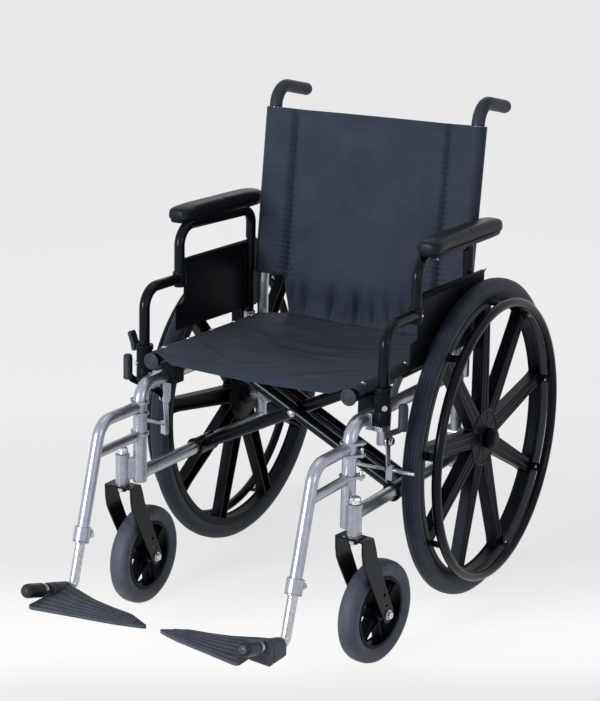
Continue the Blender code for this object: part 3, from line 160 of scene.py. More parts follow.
glow = put(tree, "Emission", {"Color": tone.outputs[0], "Strength": 1.1})
share = put(tree, "Math", {0: seen_ray(tree), 1: 0.8}, operation="MULTIPLY")
both = put(tree, "MixShader", {0: share.outputs[0], 1: matt.outputs[0], 2: glow.outputs[0]})
put(tree, "OutputMaterial", {"Surface": both.outputs[0]})
floor_mesh.materials.append(paper)

# Side frames. 25 mm steel tube, bent and welded: the front post runs on as the
# upper rail, and the rear tube leans back as the cane and bends into the push
# handle. The caster barrel, arm sockets and axle sleeve are welded to them.
WHEEL_R = 0.305
LEAN_ANGLE = math.radians(2.5)
LEAN = (
    Matrix.Translation((0, AXLE_Y, WHEEL_R))
    @ Matrix.Rotation(-LEAN_ANGLE, 4, "X")
    @ Matrix.Translation((0, 0, -WHEEL_R))
)
X_WAY = Vector((1, 0, 0))
Y_WAY = Vector((0, 1, 0))
Z_WAY = Vector((0, 0, 1))


def done(work, angle=35):
    """The finished mesh: doubles merged, faces outward, smooth but for its sharp edges."""
    bmesh.ops.remove_doubles(work, verts=work.verts, dist=0.000002)
    bmesh.ops.recalc_face_normals(work, faces=work.faces)
    mesh = bpy.data.meshes.new("drawn")
    work.to_mesh(mesh)
    work.free()
    mesh.shade_smooth()
    mesh.set_sharp_from_angle(angle=math.radians(angle))
    return mesh


def merged(*meshes):
    """Several meshes in one."""
    work = bmesh.new()
    for mesh in meshes:
        work.from_mesh(mesh)
        bpy.data.meshes.remove(mesh)
    mesh = bpy.data.meshes.new("merged")
    work.to_mesh(mesh)
    work.free()
    return mesh


def rounded(corners, radii, step=6):
    """A path through the corners, with an arc of the given radius at each inner one."""
    corners = [Vector(c) for c in corners]
    bends = radii if isinstance(radii, list) else [radii] * (len(corners) - 2)
    path = [corners[0]]
    for before, here, after, bend in zip(corners, corners[1:], corners[2:], bends):
        back = (before - here).normalized()
        ahead = (after - here).normalized()
        turn = math.pi - back.angle(ahead)
        centre = here + (back + ahead).normalized() * bend / math.cos(turn / 2)
        start = (here + back * bend * math.tan(turn / 2) - centre).normalized()
        end = (here + ahead * bend * math.tan(turn / 2) - centre).normalized()
        steps = max(2, round(math.degrees(turn) / step))
        path += [centre + start.slerp(end, k / steps) * bend for k in range(steps + 1)]
    return path + [corners[-1]]


def tube(path, radius, sides=28):
    """A round bar along a path; radius may be one number or one for each point."""
    path = [Vector(p) for p in path]
    radii = radius if isinstance(radius, list) else [radius] * len(path)
    way = (path[1] - path[0]).normalized()
    side = way.orthogonal().normalized()
    work = bmesh.new()
    rings = []
    for k, (point, r) in enumerate(zip(path, radii)):
        new_way = (path[min(k + 1, len(path) - 1)] - path[max(k - 1, 0)]).normalized()
        side = way.rotation_difference(new_way) @ side
        way = new_way
        up = way.cross(side)
        turns = [math.tau * i / sides for i in range(sides)]
        rings.append([work.verts.new(point + (side * math.cos(a) + up * math.sin(a)) * r) for a in turns])
    for a, b in zip(rings, rings[1:]):
        for i in range(sides):
            work.faces.new((a[i - 1], a[i], b[i], b[i - 1]))
    work.faces.new(rings[0])
    work.faces.new(rings[-1])
    return done(work)


def lathed(profile, centre, axis, steps=48, angle=35):
    """A profile of (radius, distance along the axis) turned about the axis."""
    work = bmesh.new()
    points = [work.verts.new((r, 0, h)) for r, h in profile]
    edges = [work.edges.new(pair) for pair in zip(points, points[1:])]
    if profile[0][0] > 0:
        edges.append(work.edges.new((points[-1], points[0])))
    bmesh.ops.spin(work, geom=points + edges, axis=Z_WAY, cent=(0, 0, 0), steps=steps, angle=math.tau, use_merge=True)
    turn = Vector(axis).to_track_quat("Z", "Y").to_matrix().to_4x4()
    work.transform(Matrix.Translation(centre) @ turn)
    return done(work, angle)


def mm(text, x=0.0, y=0.0):
    """Points in metres from pairs of millimetres, counted from the point x, y."""
    pairs = [pair.split() for pair in text.split(",")]
    return [(x + float(a) / 1000, y + float(b) / 1000) for a, b in pairs]


def band(inner, outer, low, high):
    """The profile of a plain ring, or of a disc where the inner radius is 0."""
    return [(inner, low), (outer, low), (outer, high), (inner, high)]


def brick(low, high):
    """A block between two corners."""
    low, high = Vector(low), Vector(high)
    work = bmesh.new()
    size = Matrix.Diagonal((*(high - low), 1))
    bmesh.ops.create_cube(work, size=1, matrix=Matrix.Translation((low + high) / 2) @ size)
    return done(work)


def plate(outline, start, end, axis, holes=()):
    """A flat outline with holes, drawn in the other two axes, made thick along x, y or z."""
    work = bmesh.new()
    edges = []
    for loop in (outline, *holes):
        ring = []
        for a, b in loop:
            point = [a, b]
            point.insert("xyz".index(axis), start)
            ring.append(work.verts.new(point))
        edges += [work.edges.new((ring[k - 1], ring[k])) for k in range(len(ring))]
    bmesh.ops.triangle_fill(work, edges=edges, use_beauty=True, use_dissolve=True)
    grown = bmesh.ops.extrude_face_region(work, geom=list(work.faces), use_keep_orig=True)["geom"]
    shift = [0, 0, 0]
    shift["xyz".index(axis)] = end - start
    bmesh.ops.translate(work, verts=[v for v in grown if isinstance(v, bmesh.types.BMVert)], vec=shift)
    return done(work)


def arc(centre, radius, start, end, steps):
    """Points of a flat arc, in degrees."""
    turns = [math.radians(start + (end - start) * k / steps) for k in range(steps + 1)]
    return [(centre[0] + radius * math.cos(a), centre[1] + radius * math.sin(a)) for a in turns]


def piece(name, mesh, material, body, nodes=(), seat=LEAN, edge=0.0):
    """One piece of the chair in its place, on its body and in its nodes' stead."""
    mesh.name = name
    mesh.materials.clear()
    mesh.materials.append(material)
    made = bpy.data.objects.new(name, mesh)
    bpy.context.collection.objects.link(made)
    made.matrix_world = seat
    if edge:
        rounding = made.modifiers.new("edges", "BEVEL")
        rounding.width = edge
        rounding.segments = 2
        rounding.limit_method = "ANGLE"
        rounding.angle_limit = math.radians(38)
    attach(made, body)
    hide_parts(*nodes)
    return made


def twins(name, mesh, material, bodies, node, **more):
    """A piece for the left side and its mirror image for the right."""
    if isinstance(bodies, str):
        bodies = ("left_" + bodies, "right_" + bodies)
    nodes = ((node + "_left",), (node + "_right",)) if node else ((), ())
    other = mesh.copy()
    other.transform(Matrix.Scale(-1, 4, X_WAY))
    other.flip_normals()
    left = piece(name + "_left", mesh, material, bodies[0], nodes[0], **more)
    right = piece(name + "_right", other, material, bodies[1], nodes[1], **more)
    return left, right


def surface(name, slot, **values):
    """A new material with its slot, its node tree and its Principled shader's plain values."""
    material = bpy.data.materials.new(name)
    material.use_nodes = True
    material["slot"] = slot
    shader = material.node_tree.nodes["Principled BSDF"]
    for key, value in values.items():
        shader.inputs[key.replace("_", " ")].default_value = value
    return material, material.node_tree, shader


def mottled(name, slot, dark, light, size_mm, rough, grain_mm, depth_mm, **values):
    """A material with blotches between two colours, and a finer grain in its roughness and skin."""
    material, tree, shader = surface(name, slot, **values)
    spot = put(tree, "TexCoord").outputs["Object"]
    blotch = put(tree, "TexNoise", {"Vector": spot, "Scale": 1000 / size_mm, "Detail": 4, "Roughness": 0.6})
    tone = put(tree, "ValToRGB", {0: blotch.outputs[0]})
    for stop, place, colour in zip(tone.color_ramp.elements, (0.3, 0.7), (dark, light)):
        stop.position = place
        stop.color = srgb(colour)
    grain = put(tree, "TexNoise", {"Vector": spot, "Scale": 1000 / grain_mm, "Detail": 2})
    gloss = put(tree, "MapRange", {"Value": grain.outputs[0], "To Min": rough[0], "To Max": rough[1]})
    skin = put(tree, "Bump", {"Height": grain.outputs[0], "Strength": 0.6, "Distance": depth_mm / 1000})
    tree.links.new(tone.outputs[0], shader.inputs["Base Color"])
    tree.links.new(gloss.outputs[0], shader.inputs["Roughness"])
    tree.links.new(skin.outputs[0], shader.inputs["Normal"])
    return material


# Silver-vein powder coat on steel tube: a bright metallic skin, cloudy in
# patches of about 20 mm and pebbled at about 3 mm where the powder flowed.
silver_coat = mottled(
    "silver_vein_powder_coat", "satin_silver", "#a6a9b5", "#babdc9", 20, (0.24, 0.33), 3, 0.015,
    Metallic=0.8,
)


def frame_part(name, mesh, edge=0.0):
    """A coated part of both side frames."""
    twins(name, mesh, silver_coat, "side", "side_frame", edge=edge)


FRAME_X = 0.219
TUBE_R = 0.0127
POST_Y = -0.4265
UPPER_RAIL_Z = 0.427
LOWER_RAIL_Z = 0.259
RECLINE = math.radians(6.2)
CANE_WAY = Vector((0, math.sin(RECLINE), math.cos(RECLINE)))
CANE_FORWARD = Vector((0, -math.cos(RECLINE), math.sin(RECLINE)))
CANE_BEND_Z = 0.545
SLEEVE_TOP_Z = 0.889


def cane_at(z):
    """The middle of the left cane at a height."""
    return Vector((FRAME_X, (z - CANE_BEND_Z) * math.tan(RECLINE), z))


post_line = rounded(
    [(FRAME_X, POST_Y, 0.242), (FRAME_X, POST_Y, UPPER_RAIL_Z), (FRAME_X, -0.002, UPPER_RAIL_Z)], 0.034
)
frame_part("front_post_and_rail", tube(post_line, TUBE_R), 0.001)
CANE_R = 0.0111
HANDLE_BEND_R = 0.038
handle_corner = cane_at(0.904) + CANE_WAY * 0.0304
handle_end = handle_corner + Vector((0, 0.112, -0.020))
cane_line = rounded(
    [(FRAME_X, 0, 0.236), (FRAME_X, 0, CANE_BEND_Z), handle_corner, handle_end], [0.06, HANDLE_BEND_R]
)
frame_part("rear_tube_and_cane", tube(cane_line, CANE_R), 0.001)


def weld(y, z):
    """The fillet of weld metal where a rail meets an upright tube."""
    ring = arc((TUBE_R - 0.0012, 0), 0.0024, 0, 315, 7)
    return lathed(ring, (FRAME_X, y, z), Y_WAY, 36)


lower_rail = tube([(FRAME_X, POST_Y + 0.002, LOWER_RAIL_Z), (FRAME_X, -0.002, LOWER_RAIL_Z)], TUBE_R - 0.0001)
welds = [weld(POST_Y + 0.0118, LOWER_RAIL_Z), weld(-0.0118, LOWER_RAIL_Z), weld(-0.0118, UPPER_RAIL_Z)]
frame_part("lower_rail", merged(lower_rail, *welds))

BARREL_X = FRAME_X + 0.025
BARREL_Y = POST_Y - 0.0205
barrel_profile = mm("7 240, 13 240, 13.6 240.8, 13.6 244, 12.6 244.8, 12.6 292, 13.6 293, 13.6 296.2, 13 297, 7 297")
frame_part("caster_barrel", lathed(barrel_profile, (BARREL_X, BARREL_Y, 0), Z_WAY))
web_outline = mm("-4 -6", FRAME_X, POST_Y) + mm("-6 -6, 6 6", BARREL_X, BARREL_Y) + mm("4 6", FRAME_X, POST_Y)
frame_part("barrel_web", plate(web_outline, 0.248, 0.289, "z"), 0.002)

# Zinc-plated steel fasteners: bright, a little yellow-blue in patches of
# about 6 mm, with the fine drag marks of tumbling.
zinc = mottled("zinc_plated_steel", "zinc_steel", "#a9abb2", "#d9dade", 6, (0.2, 0.36), 0.9, 0.03, Metallic=1.0)

WHEEL_X = FRAME_X + 0.0516
axle_sleeve = merged(
    lathed(band(0.0066, 0.0115, FRAME_X - 0.0155, WHEEL_X - 0.031), (0, 0, WHEEL_R), X_WAY),
    lathed(band(0.0116, 0.0146, FRAME_X - 0.0145, FRAME_X - 0.0125), (0, 0, WHEEL_R), X_WAY),
)
frame_part("axle_sleeve", axle_sleeve, 0.0006)
ARM_X = FRAME_X + 0.031
ARM_Y = -0.368
socket_mount = merged(
    brick(
        (FRAME_X + 0.002, ARM_Y - 0.010, UPPER_RAIL_Z - 0.012), (ARM_X - 0.0153, ARM_Y + 0.010, UPPER_RAIL_Z + 0.010)
    ),
    brick((FRAME_X + 0.004, ARM_Y - 0.012, 0.408), (ARM_X + 0.006, ARM_Y + 0.012, 0.4167)),
    tube([(ARM_X - 0.003, ARM_Y, z) for z in (0.381, 0.383, 0.411)], [0.0055, 0.0065, 0.0065], 18),
)
frame_part("arm_socket_mount", socket_mount, 0.0012)
REAR_X = FRAME_X + 0.019
REAR_Y = -0.0195
rear_socket = merged(
    lathed(band(0.0088, 0.0115, 0.424, 0.484), (REAR_X, REAR_Y, 0), Z_WAY),
    brick((FRAME_X + 0.004, REAR_Y, UPPER_RAIL_Z + 0.024), (REAR_X - 0.002, -0.004, UPPER_RAIL_Z + 0.044)),
)
frame_part("rear_arm_socket", rear_socket, 0.0008)
SEAT_RAIL_X = FRAME_X - 0.014
SEAT_RAIL_Z = 0.4705
cradle = brick(
    (SEAT_RAIL_X - 0.0105, -0.092, UPPER_RAIL_Z + 0.004), (SEAT_RAIL_X + 0.010, -0.058, SEAT_RAIL_Z - TUBE_R - 0.0003)
)
frame_part("rear_rail_cradle", cradle, 0.0008)
lock_stay = tube([(FRAME_X, POST_Y, 0.361), (0.2335, -0.326, 0.324)], 0.0027, 16)
twins("lock_stay", lock_stay, zinc, "side", "side_frame")

# Push grips. Thin vinyl sleeves, pushed over the bent ends of the canes down
# to the back cloth, each with a closed round tip.
# Dipped vinyl: slate, dull, with the fine orange-peel of the dip.
grip_vinyl = mottled(
    "dipped_vinyl_grip", "slate_grip", "#272c36", "#343a46", 14, (0.42, 0.58), 2.2, 0.1,
    Specular_IOR_Level=0.25,
)
handle_way = (handle_end - handle_corner).normalized()
grip_foot = cane_at(SLEEVE_TOP_Z) + CANE_WAY * 0.0006
grip_line = rounded([grip_foot, handle_corner, handle_end], HANDLE_BEND_R)
grip_line = [grip_foot, grip_foot + CANE_WAY * 0.001, *grip_line[1:]]
grip_radii = [0.0122] + [0.0126] * (len(grip_line) - 2)
for ahead, radius in mm("-6 12.6, -2 12.9, 2 12.5, 6 11.2, 9.5 8, 11 3.5"):
    grip_line.insert(-1, handle_end + handle_way * ahead)
    grip_radii.append(radius)
grip_line.pop()
grip_radii = grip_radii[: len(grip_line)]
twins("push_grip", tube(grip_line, grip_radii, 32), grip_vinyl, "side", "push_grip")

# Rear wheels. Rim, nine channel spokes and hub are one moulding of glass-filled
# nylon. A solid urethane tyre is stretched over it, and the handrim is screwed
# to a tab at each spoke.
# Glass-filled nylon: near black, satin, with faint flow clouds and moulding grain.
BLUE_CAST = (0.72, 0.84, 1, 1)
wheel_nylon = mottled(
    "moulded_glass_nylon", "black_plastic", "#08090d", "#0f1218", 30, (0.36, 0.52), 1.6, 0.05,
    Specular_Tint=BLUE_CAST, Specular_IOR_Level=0.1,
)
# Urethane tyre: slate grey, matt, and a little dusty in patches
tyre_urethane = mottled(
    "moulded_urethane_tyre", "dark_tyre", "#282d37", "#363c48", 40, (0.46, 0.64), 1.8, 0.06,
    Specular_Tint=BLUE_CAST, Specular_IOR_Level=0.25,
)
# Gloss black enamel baked on steel: a deep, even mirror with slight waves
black_enamel = mottled(
    "baked_black_enamel", "gloss_black", "#080a0f", "#10131a", 50, (0.2, 0.3), 7, 0.06,
    Specular_Tint=BLUE_CAST, Coat_Weight=0.1, Coat_Roughness=0.12, Specular_IOR_Level=0.12,
)

WHEEL_SEAT = Matrix.Translation((0, AXLE_Y, 0))
HUB_AT = Vector((WHEEL_X, 0, WHEEL_R))


def wheel_part(name, mesh, material, node, edge=0.0):
    """A part of both rear wheels, which stand upright on the level floor."""
    twins(name, mesh, material, "rear_wheel", node, seat=WHEEL_SEAT, edge=edge)


RIM_R = WHEEL_R - 0.031


def mirrored(half):
    """Half a profile and its mirror image."""
    return half + [(r, -h) for r, h in reversed(half)]


tyre_half = mm("-3 -11.2, 2 -12.8, 10 -15.2, 17 -16", RIM_R)
tyre_half += mm("-9.5 -15.2, -4.7 -12.8, -2 -9.8, -1.2 -8.4, -2.4 -7.6, -1 -6.8", WHEEL_R)
tyre_half += mm("-0.2 -4, 0 -3, -1.3 -2.2, 0 -1.4", WHEEL_R)
wheel_part("rear_tyre", lathed(mirrored(tyre_half), HUB_AT, X_WAY, 144, 50), tyre_urethane, "wheel_tyre")

rim_half = mm("0 -11.8, 2.2 -14, -10 -14, -13 -12.8, -12.5 -10, -10.5 -8", RIM_R)
hub_profile = mm(
    "6.6 -27, 19 -27, 20 -26, 22 -18, 54.5 -12.2, 55.6 -11.2, 55.6 8.2, 55 9.6, 54 10.4, 53.2 10.4, 52.2 9.5, "
    "26 9.5, 23.8 10, 22.2 13.2, 21.2 14, 6.6 14"
)
SPOKES = 9
SPOKE_FACE = 0.009


def spoke_ring(radius, width, deep):
    """One section of a channel spoke, open to the inner side, with two raised lines outside."""
    half = width / 2
    line = width * 0.19
    one_side = [
        (half - 0.0042, SPOKE_FACE - deep), (half, SPOKE_FACE - deep), (half, SPOKE_FACE - 0.0012),
        (half - 0.0012, SPOKE_FACE), (line + 0.0017, SPOKE_FACE), (line + 0.0008, SPOKE_FACE + 0.0012),
        (line - 0.0008, SPOKE_FACE + 0.0012), (line - 0.0017, SPOKE_FACE),
    ]
    other_side = [(-t, x) for t, x in reversed(one_side)]
    inside = [(-half + 0.0052, SPOKE_FACE - 0.005), (half - 0.0052, SPOKE_FACE - 0.005)]
    return [Vector((x, t, radius)) for t, x in one_side + other_side + inside]


def lofted(rings, angle=35):
    """A closed form through rings with the same number of points."""
    work = bmesh.new()
    rows = [[work.verts.new(point) for point in ring] for ring in rings]
    for a, b in zip(rows, rows[1:]):
        for k in range(len(a)):
            work.faces.new((a[k - 1], a[k], b[k], b[k - 1]))
    work.faces.new(rows[0])
    work.faces.new(rows[-1])
    return done(work, angle)


SPOKE_STATIONS = (
    (0.047, 0.0360, 0.021), (0.056, 0.0352, 0.022), (0.070, 0.0340, 0.022), (0.160, 0.0298, 0.022),
    (0.232, 0.0266, 0.022), (0.248, 0.0272, 0.022), (0.257, 0.0292, 0.022), (0.2645, 0.0330, 0.0215),
)
spoke = lofted([spoke_ring(*station) for station in SPOKE_STATIONS])
moulding = [lathed(mirrored(rim_half), HUB_AT, X_WAY, 144), lathed(hub_profile, HUB_AT, X_WAY, 72)]
# The raised edges of the moulding are drawn in a lighter slate, a painted highlight where they catch the light
painted_highlight_edge = mottled(
    "moulding_edge_painted_highlight", "black_plastic", "#2a2e36", "#3f444e", 30, (0.3, 0.42), 1.6, 0.05,
    Specular_IOR_Level=0.3,
)
ring_line = lathed(mm("53.2 10, 54.4 10, 54.4 10.8, 53.8 11, 53.2 10.8"), HUB_AT, X_WAY, 72)
lines = [ring_line]
turns = [Matrix.Translation(HUB_AT) @ Matrix.Rotation(k * math.tau / SPOKES, 4, "X") for k in range(SPOKES)]
between = [turn @ Matrix.Rotation(math.pi / SPOKES, 4, "X") for turn in turns]
for turn, gap in zip(turns, between):
    arm = spoke.copy()
    arm.transform(turn)
    moulding.append(arm)
    ridge = tube([(SPOKE_FACE + 0.0008, 0, 0.024), (SPOKE_FACE + 0.0008, 0, 0.0535)], 0.0009, 10)
    ridge.transform(gap)
    lines.append(ridge)
    for side in (-1, 1):
        ends = [(SPOKE_FACE + 0.0009, side * y, z) for y, z in ((0.0066, 0.060), (0.0051, 0.247))]
        edge_line = tube(ends, 0.0007, 8)
        edge_line.transform(turn)
        lines.append(edge_line)
wheel_part("moulded_wheel", merged(*moulding), wheel_nylon, "wheel", 0.0005)
# The raised lines carry the lighter slate of the painted highlight
wheel_part("moulded_wheel_lines", merged(*lines), painted_highlight_edge, "wheel")

HANDRIM_R = 0.2632
hoop_profile = [(HANDRIM_R + 0.009 * a, 0.0376 + 0.009 * b) for a, b in arc((0, 0), 1, 0, 345, 23)]
hoop = lathed(hoop_profile, HUB_AT, X_WAY, 144)
wheel_part("handrim", hoop, black_enamel, "handrim")
tabs = []
screws = []
SCREW_HEAD = mm("0 0, 3.4 0, 3.4 0.6, 2.8 1.7, 1.5 2.2, 0 2.4")


def screw(centre, axis, size=1.0):
    """A small washer-head screw, seen from outside."""
    return lathed([(r * size, h * size) for r, h in reversed(SCREW_HEAD)], centre, axis, 18)


for turn in turns:
    strip = mm("14.3 263.5, 14.3 266.8, 30 267.8, 36.5 266.2, 36.5 262.5, 30 264, 17 263")
    tab = plate(strip, -0.008, 0.008, "y")
    tab.transform(turn)
    tabs.append(tab)
    head = screw((0.0225, 0, 0.2628), -Z_WAY, 0.9)
    head.transform(turn)
    screws.append(head)
wheel_part("handrim_tabs", merged(*tabs), black_enamel, "handrim", 0.0008)
wheel_part("handrim_screws", merged(*screws), zinc, None)
CAP_X = WHEEL_X + 0.0148
AXLE_AT = Vector((0, 0, WHEEL_R))
AXLE_END = FRAME_X - 0.0175
cap_profile = [(0, AXLE_END), (0.0062, AXLE_END), (0.0062, CAP_X)]
cap_profile += mm("19.2 0, 20 1.2, 19.8 14.2, 18.8 15.8, 17.2 16.2, 0 16.2", 0, CAP_X)
twins("axle_and_cap", lathed(cap_profile, AXLE_AT, X_WAY, 40), wheel_nylon, "side", "rear_axle", seat=WHEEL_SEAT)
face_profile = mm("0 16, 17 16, 17 17, 15 18.6, 10 19.8, 0 20.4", y=CAP_X)
twins("axle_cap_face", lathed(face_profile, AXLE_AT, X_WAY, 40), wheel_nylon, "side", "rear_axle", seat=WHEEL_SEAT)
axle_nut = lathed(mm("0 -25.5, 8.8 -25.5, 9.8 -24.5, 9.8 -16, 0 -16", y=FRAME_X), AXLE_AT, X_WAY, 6)
twins("axle_nut", axle_nut, zinc, "side", None, seat=WHEEL_SEAT, edge=0.0005)

# Casters. A fork of 3.6 mm steel strip, bent over at the crown, turns on a stem
# in the barrel. It holds a moulded wheel with six spokes and a wide soft tyre.
# Caster rubber: slate grey and dull, scuffed lighter in patches
caster_rubber = mottled("soft_grey_rubber", "grey_rubber", "#3a414d", "#4c5360", 22, (0.5, 0.7), 1.5, 0.08)

ORIGIN = Vector((0, 0, 0))
CASTER_R = 0.094
TRAIL = 0.0706
CASTER_Z = WHEEL_R + (CASTER_R - WHEEL_R + (BARREL_Y + TRAIL) * math.sin(LEAN_ANGLE)) / math.cos(LEAN_ANGLE)
CROWN_Z = 0.237
FORK_IN = 0.0262
FORK_OUT = FORK_IN + 0.0036
leg_outline = mm("-15 0, 17 0, 24.5 -19, 30 -38, 36.5 -52", 0, CROWN_Z)
leg_outline += mm("14.8 6", TRAIL, CASTER_Z) + arc((TRAIL, CASTER_Z), 0.0152, 20, -170, 12)
leg_outline += mm("-3 -58, -10.5 -42, -14 -24", 0, CROWN_Z)
leg_way = Vector((0.030 - TRAIL, CROWN_Z - 0.038 - CASTER_Z)).normalized()
leg_holes = [arc(Vector((TRAIL, CASTER_Z)) + leg_way * 0.022 * k, 0.0033, 0, 330, 11) for k in (1, 2)]
fork = merged(
    plate(leg_outline, FORK_IN, FORK_OUT, "x", leg_holes),
    plate(leg_outline, -FORK_OUT, -FORK_IN, "x", leg_holes),
    brick((-FORK_OUT + 0.0002, -0.0149, CROWN_Z - 0.0036), (FORK_OUT - 0.0002, 0.0169, CROWN_Z)),
)
stem = merged(
    lathed(mm("0 -13, 8 -13, 9.2 -12, 9.2 -3.6, 0 -3.6", y=CROWN_Z), ORIGIN, Z_WAY, 6),
    lathed(mm("0 237, 12.8 237, 12.8 239.2, 6.6 239.3, 6.6 297.8, 0 297.8"), ORIGIN, Z_WAY, 32),
)
dome = mm("0 297.8, 12.4 297.8, 12.4 299.8, 11.2 300.8, 10.8 305, 9 309, 5 311, 0 311.4")
dome_nut = lathed(dome, ORIGIN, Z_WAY, 6)
caster_tyre_half = mm("65.5 -13, 68 -15, 74.5 -17.8, 81 -19, 86.8 -17.8, 91.2 -14.2, 93.4 -9, 94 -3.5")
caster_rim_half = mm("65.5 -14.5, 64 -15, 59.5 -14, 59.5 -12, 61 -10")
hub_end = 0.0008 - FORK_IN
caster_hub_half = [(0.0044, hub_end), (0.0085, hub_end)] + mm("9.5 -17, 14 -15, 15 -12")


def caster_spoke_ring(radius, width, thick):
    """A section of a caster spoke: an I shape with flanges along both edges."""
    w, t = width / 2, thick / 2
    corner = [(t, w), (t * 0.6, w), (t * 0.35, w * 0.55)]
    ring = corner + [(x, -y) for x, y in reversed(corner)]
    return [Vector((x, y, radius)) for x, y in ring + [(-x, -y) for x, y in ring]]


caster_stations = ((0.012, 0.021, 0.020), (0.030, 0.0150, 0.019), (0.050, 0.0135, 0.018), (0.0605, 0.0190, 0.018))
caster_spoke = lofted([caster_spoke_ring(*station) for station in caster_stations])
caster_parts = [
    lathed(mirrored(caster_rim_half), ORIGIN, X_WAY, 72), lathed(mirrored(caster_hub_half), ORIGIN, X_WAY, 36)
]
for k in range(6):
    arm = caster_spoke.copy()
    arm.transform(Matrix.Rotation((k + 0.2) * math.tau / 6, 4, "X"))
    caster_parts.append(arm)
caster_moulding = merged(*caster_parts)
caster_tyre = lathed(mirrored(caster_tyre_half), ORIGIN, X_WAY, 96, 50)
axle_rod = lathed(band(0, 0.004, -FORK_OUT - 0.002, FORK_OUT + 0.002), ORIGIN, X_WAY, 16)
axle_heads = []
for side in (-1, 1):
    out = side * X_WAY
    axle_heads.append(lathed(band(0.004, 0.0092, 0.0003, 0.0014), out * FORK_OUT, out, 24))
    axle_heads.append(lathed(mm("0 1.4, 7 1.4, 7 5.6, 6.2 6.4, 0 6.4"), out * FORK_OUT, out, 6))
caster_axle = merged(axle_rod, *axle_heads)
upright = Matrix.Translation((0, TRAIL, CASTER_Z)) @ Matrix.Rotation(LEAN_ANGLE, 4, "X")
for side, x, steer in (("left", BARREL_X, -7.0), ("right", -BARREL_X, 1.0)):
    turned = LEAN @ Matrix.Translation((x, BARREL_Y, 0)) @ Matrix.Rotation(math.radians(steer), 4, "Z")
    rolling = turned @ upright
    caster_pieces = (
        ("fork_strip", fork, black_enamel, "fork", "fork", turned, 0.0011),
        ("stem", stem, zinc, "fork", "fork", turned, 0.0004),
        ("dome_nut", dome_nut, zinc, "fork", "fork", turned, 0.0006),
        ("bolt", caster_axle, zinc, "fork", "axle", rolling, 0.0004),
        ("moulding", caster_moulding, wheel_nylon, "wheel", "wheel", rolling, 0.0005),
        ("tread", caster_tyre, caster_rubber, "wheel", "tyre", rolling, 0.0),
    )
    for name, mesh, material, body, node, seat, edge in caster_pieces:
        names = f"caster_{name}_{side}", f"{side}_caster_{body}", f"caster_{node}_{side}"
        piece(names[0], mesh.copy(), material, names[1], names[2:], seat=seat, edge=edge)

# Cross brace. Two arms of 24 mm tube, enamelled black, cross at a bolt. Each
# turns about a lower rail by a welded sleeve with plastic end rings, and each
# carries the seat rail of the other side.
BRACE_Y = -0.215
BRACE_R = 0.012
LOW_END = Vector((FRAME_X, 0, LOWER_RAIL_Z))
HIGH_END = Vector((-SEAT_RAIL_X, 0, SEAT_RAIL_Z))
PIVOT_Z = LOWER_RAIL_Z + (SEAT_RAIL_Z - LOWER_RAIL_Z) * FRAME_X / (FRAME_X + SEAT_RAIL_X)
ARM_PITCH = 2 * BRACE_R + 0.0003


def brace_arm(sleeve_long, offsets):
    """A sleeve on the left lower rail with its tubes up to the right seat rail."""
    half = sleeve_long / 2
    profiles = [band(0.0132, 0.0168, -half, half)]
    profiles += [band(0.0132, 0.0182, s * (half - 0.004), s * half) for s in (-1, 1)]
    centre = LOW_END + Y_WAY * BRACE_Y
    parts = [lathed(profile, centre, Y_WAY, 36) for profile in profiles]
    way = (HIGH_END - LOW_END).normalized()
    for y in offsets:
        reach = Y_WAY * (BRACE_Y + y)
        parts.append(tube([LOW_END + reach + way * 0.014, HIGH_END + reach - way * 0.0135], BRACE_R, 32))
    return merged(*parts)


double_arm = brace_arm(0.094, [-ARM_PITCH, ARM_PITCH])
single_arm = brace_arm(0.060, [0])
single_arm.transform(Matrix.Scale(-1, 4, X_WAY))
single_arm.flip_normals()
piece("brace_arm_double", double_arm, black_enamel, "double_arm", ["cross_arm_double"], edge=0.0005)
piece("brace_arm_single", single_arm, black_enamel, "single_arm", ["cross_arm_single"], edge=0.0005)
BOLT_HALF = ARM_PITCH + BRACE_R + 0.0003
BOLT_AT = (0, BRACE_Y, PIVOT_Z)
brace_bolt = merged(
    lathed(band(0, 0.0047, -BOLT_HALF, BOLT_HALF + 0.006), BOLT_AT, Y_WAY, 20),
    lathed(mm("0 -6, 3 -5.8, 6.2 -4.4, 8.2 -1.6, 8.6 0, 0 0", y=-BOLT_HALF), BOLT_AT, Y_WAY, 32),
    lathed(band(0.0047, 0.0090, BOLT_HALF, BOLT_HALF + 0.0012), BOLT_AT, Y_WAY, 28),
    lathed(mm("4.4 1.2, 8 1.2, 8 5.2, 4.4 5.8", y=BOLT_HALF), BOLT_AT, Y_WAY, 6),
)
piece("brace_bolt", brace_bolt, zinc, "double_arm", ["cross_pivot_bolt"], edge=0.0004)

# Seat rails. Black enamelled tube with a ribbed plastic plug in the front end.
# Moulded saddles on the upper rails take them when the chair is open.
RAIL_BODIES = ("single_arm", "double_arm")
rail_line = [(SEAT_RAIL_X, -0.398, SEAT_RAIL_Z), (SEAT_RAIL_X, -0.030, SEAT_RAIL_Z)]
twins("seat_rail_tube", tube(rail_line, TUBE_R, 32), black_enamel, RAIL_BODIES, "seat_rail", edge=0.0008)
plug_profile = mm("0 0, 9.8 0, 9.8 2.6, 8.8 3.2, 7 2.6, 6 3.4, 3 2.6, 0 3")
rail_plug = lathed(plug_profile, (SEAT_RAIL_X, -0.3978, SEAT_RAIL_Z), -Y_WAY, 28)
twins("seat_rail_plug", rail_plug, wheel_nylon, RAIL_BODIES, "seat_rail")
disc_profile = mm("0 0, 14.8 0, 15.4 0.8, 15.4 2.8, 14.2 4, 10.8 4.4, 10 3.6, 7.6 3.6, 6.8 4.6, 0 5")
cap_disc = lathed(disc_profile, (SEAT_RAIL_X, -0.4086, SEAT_RAIL_Z), -Y_WAY, 40)
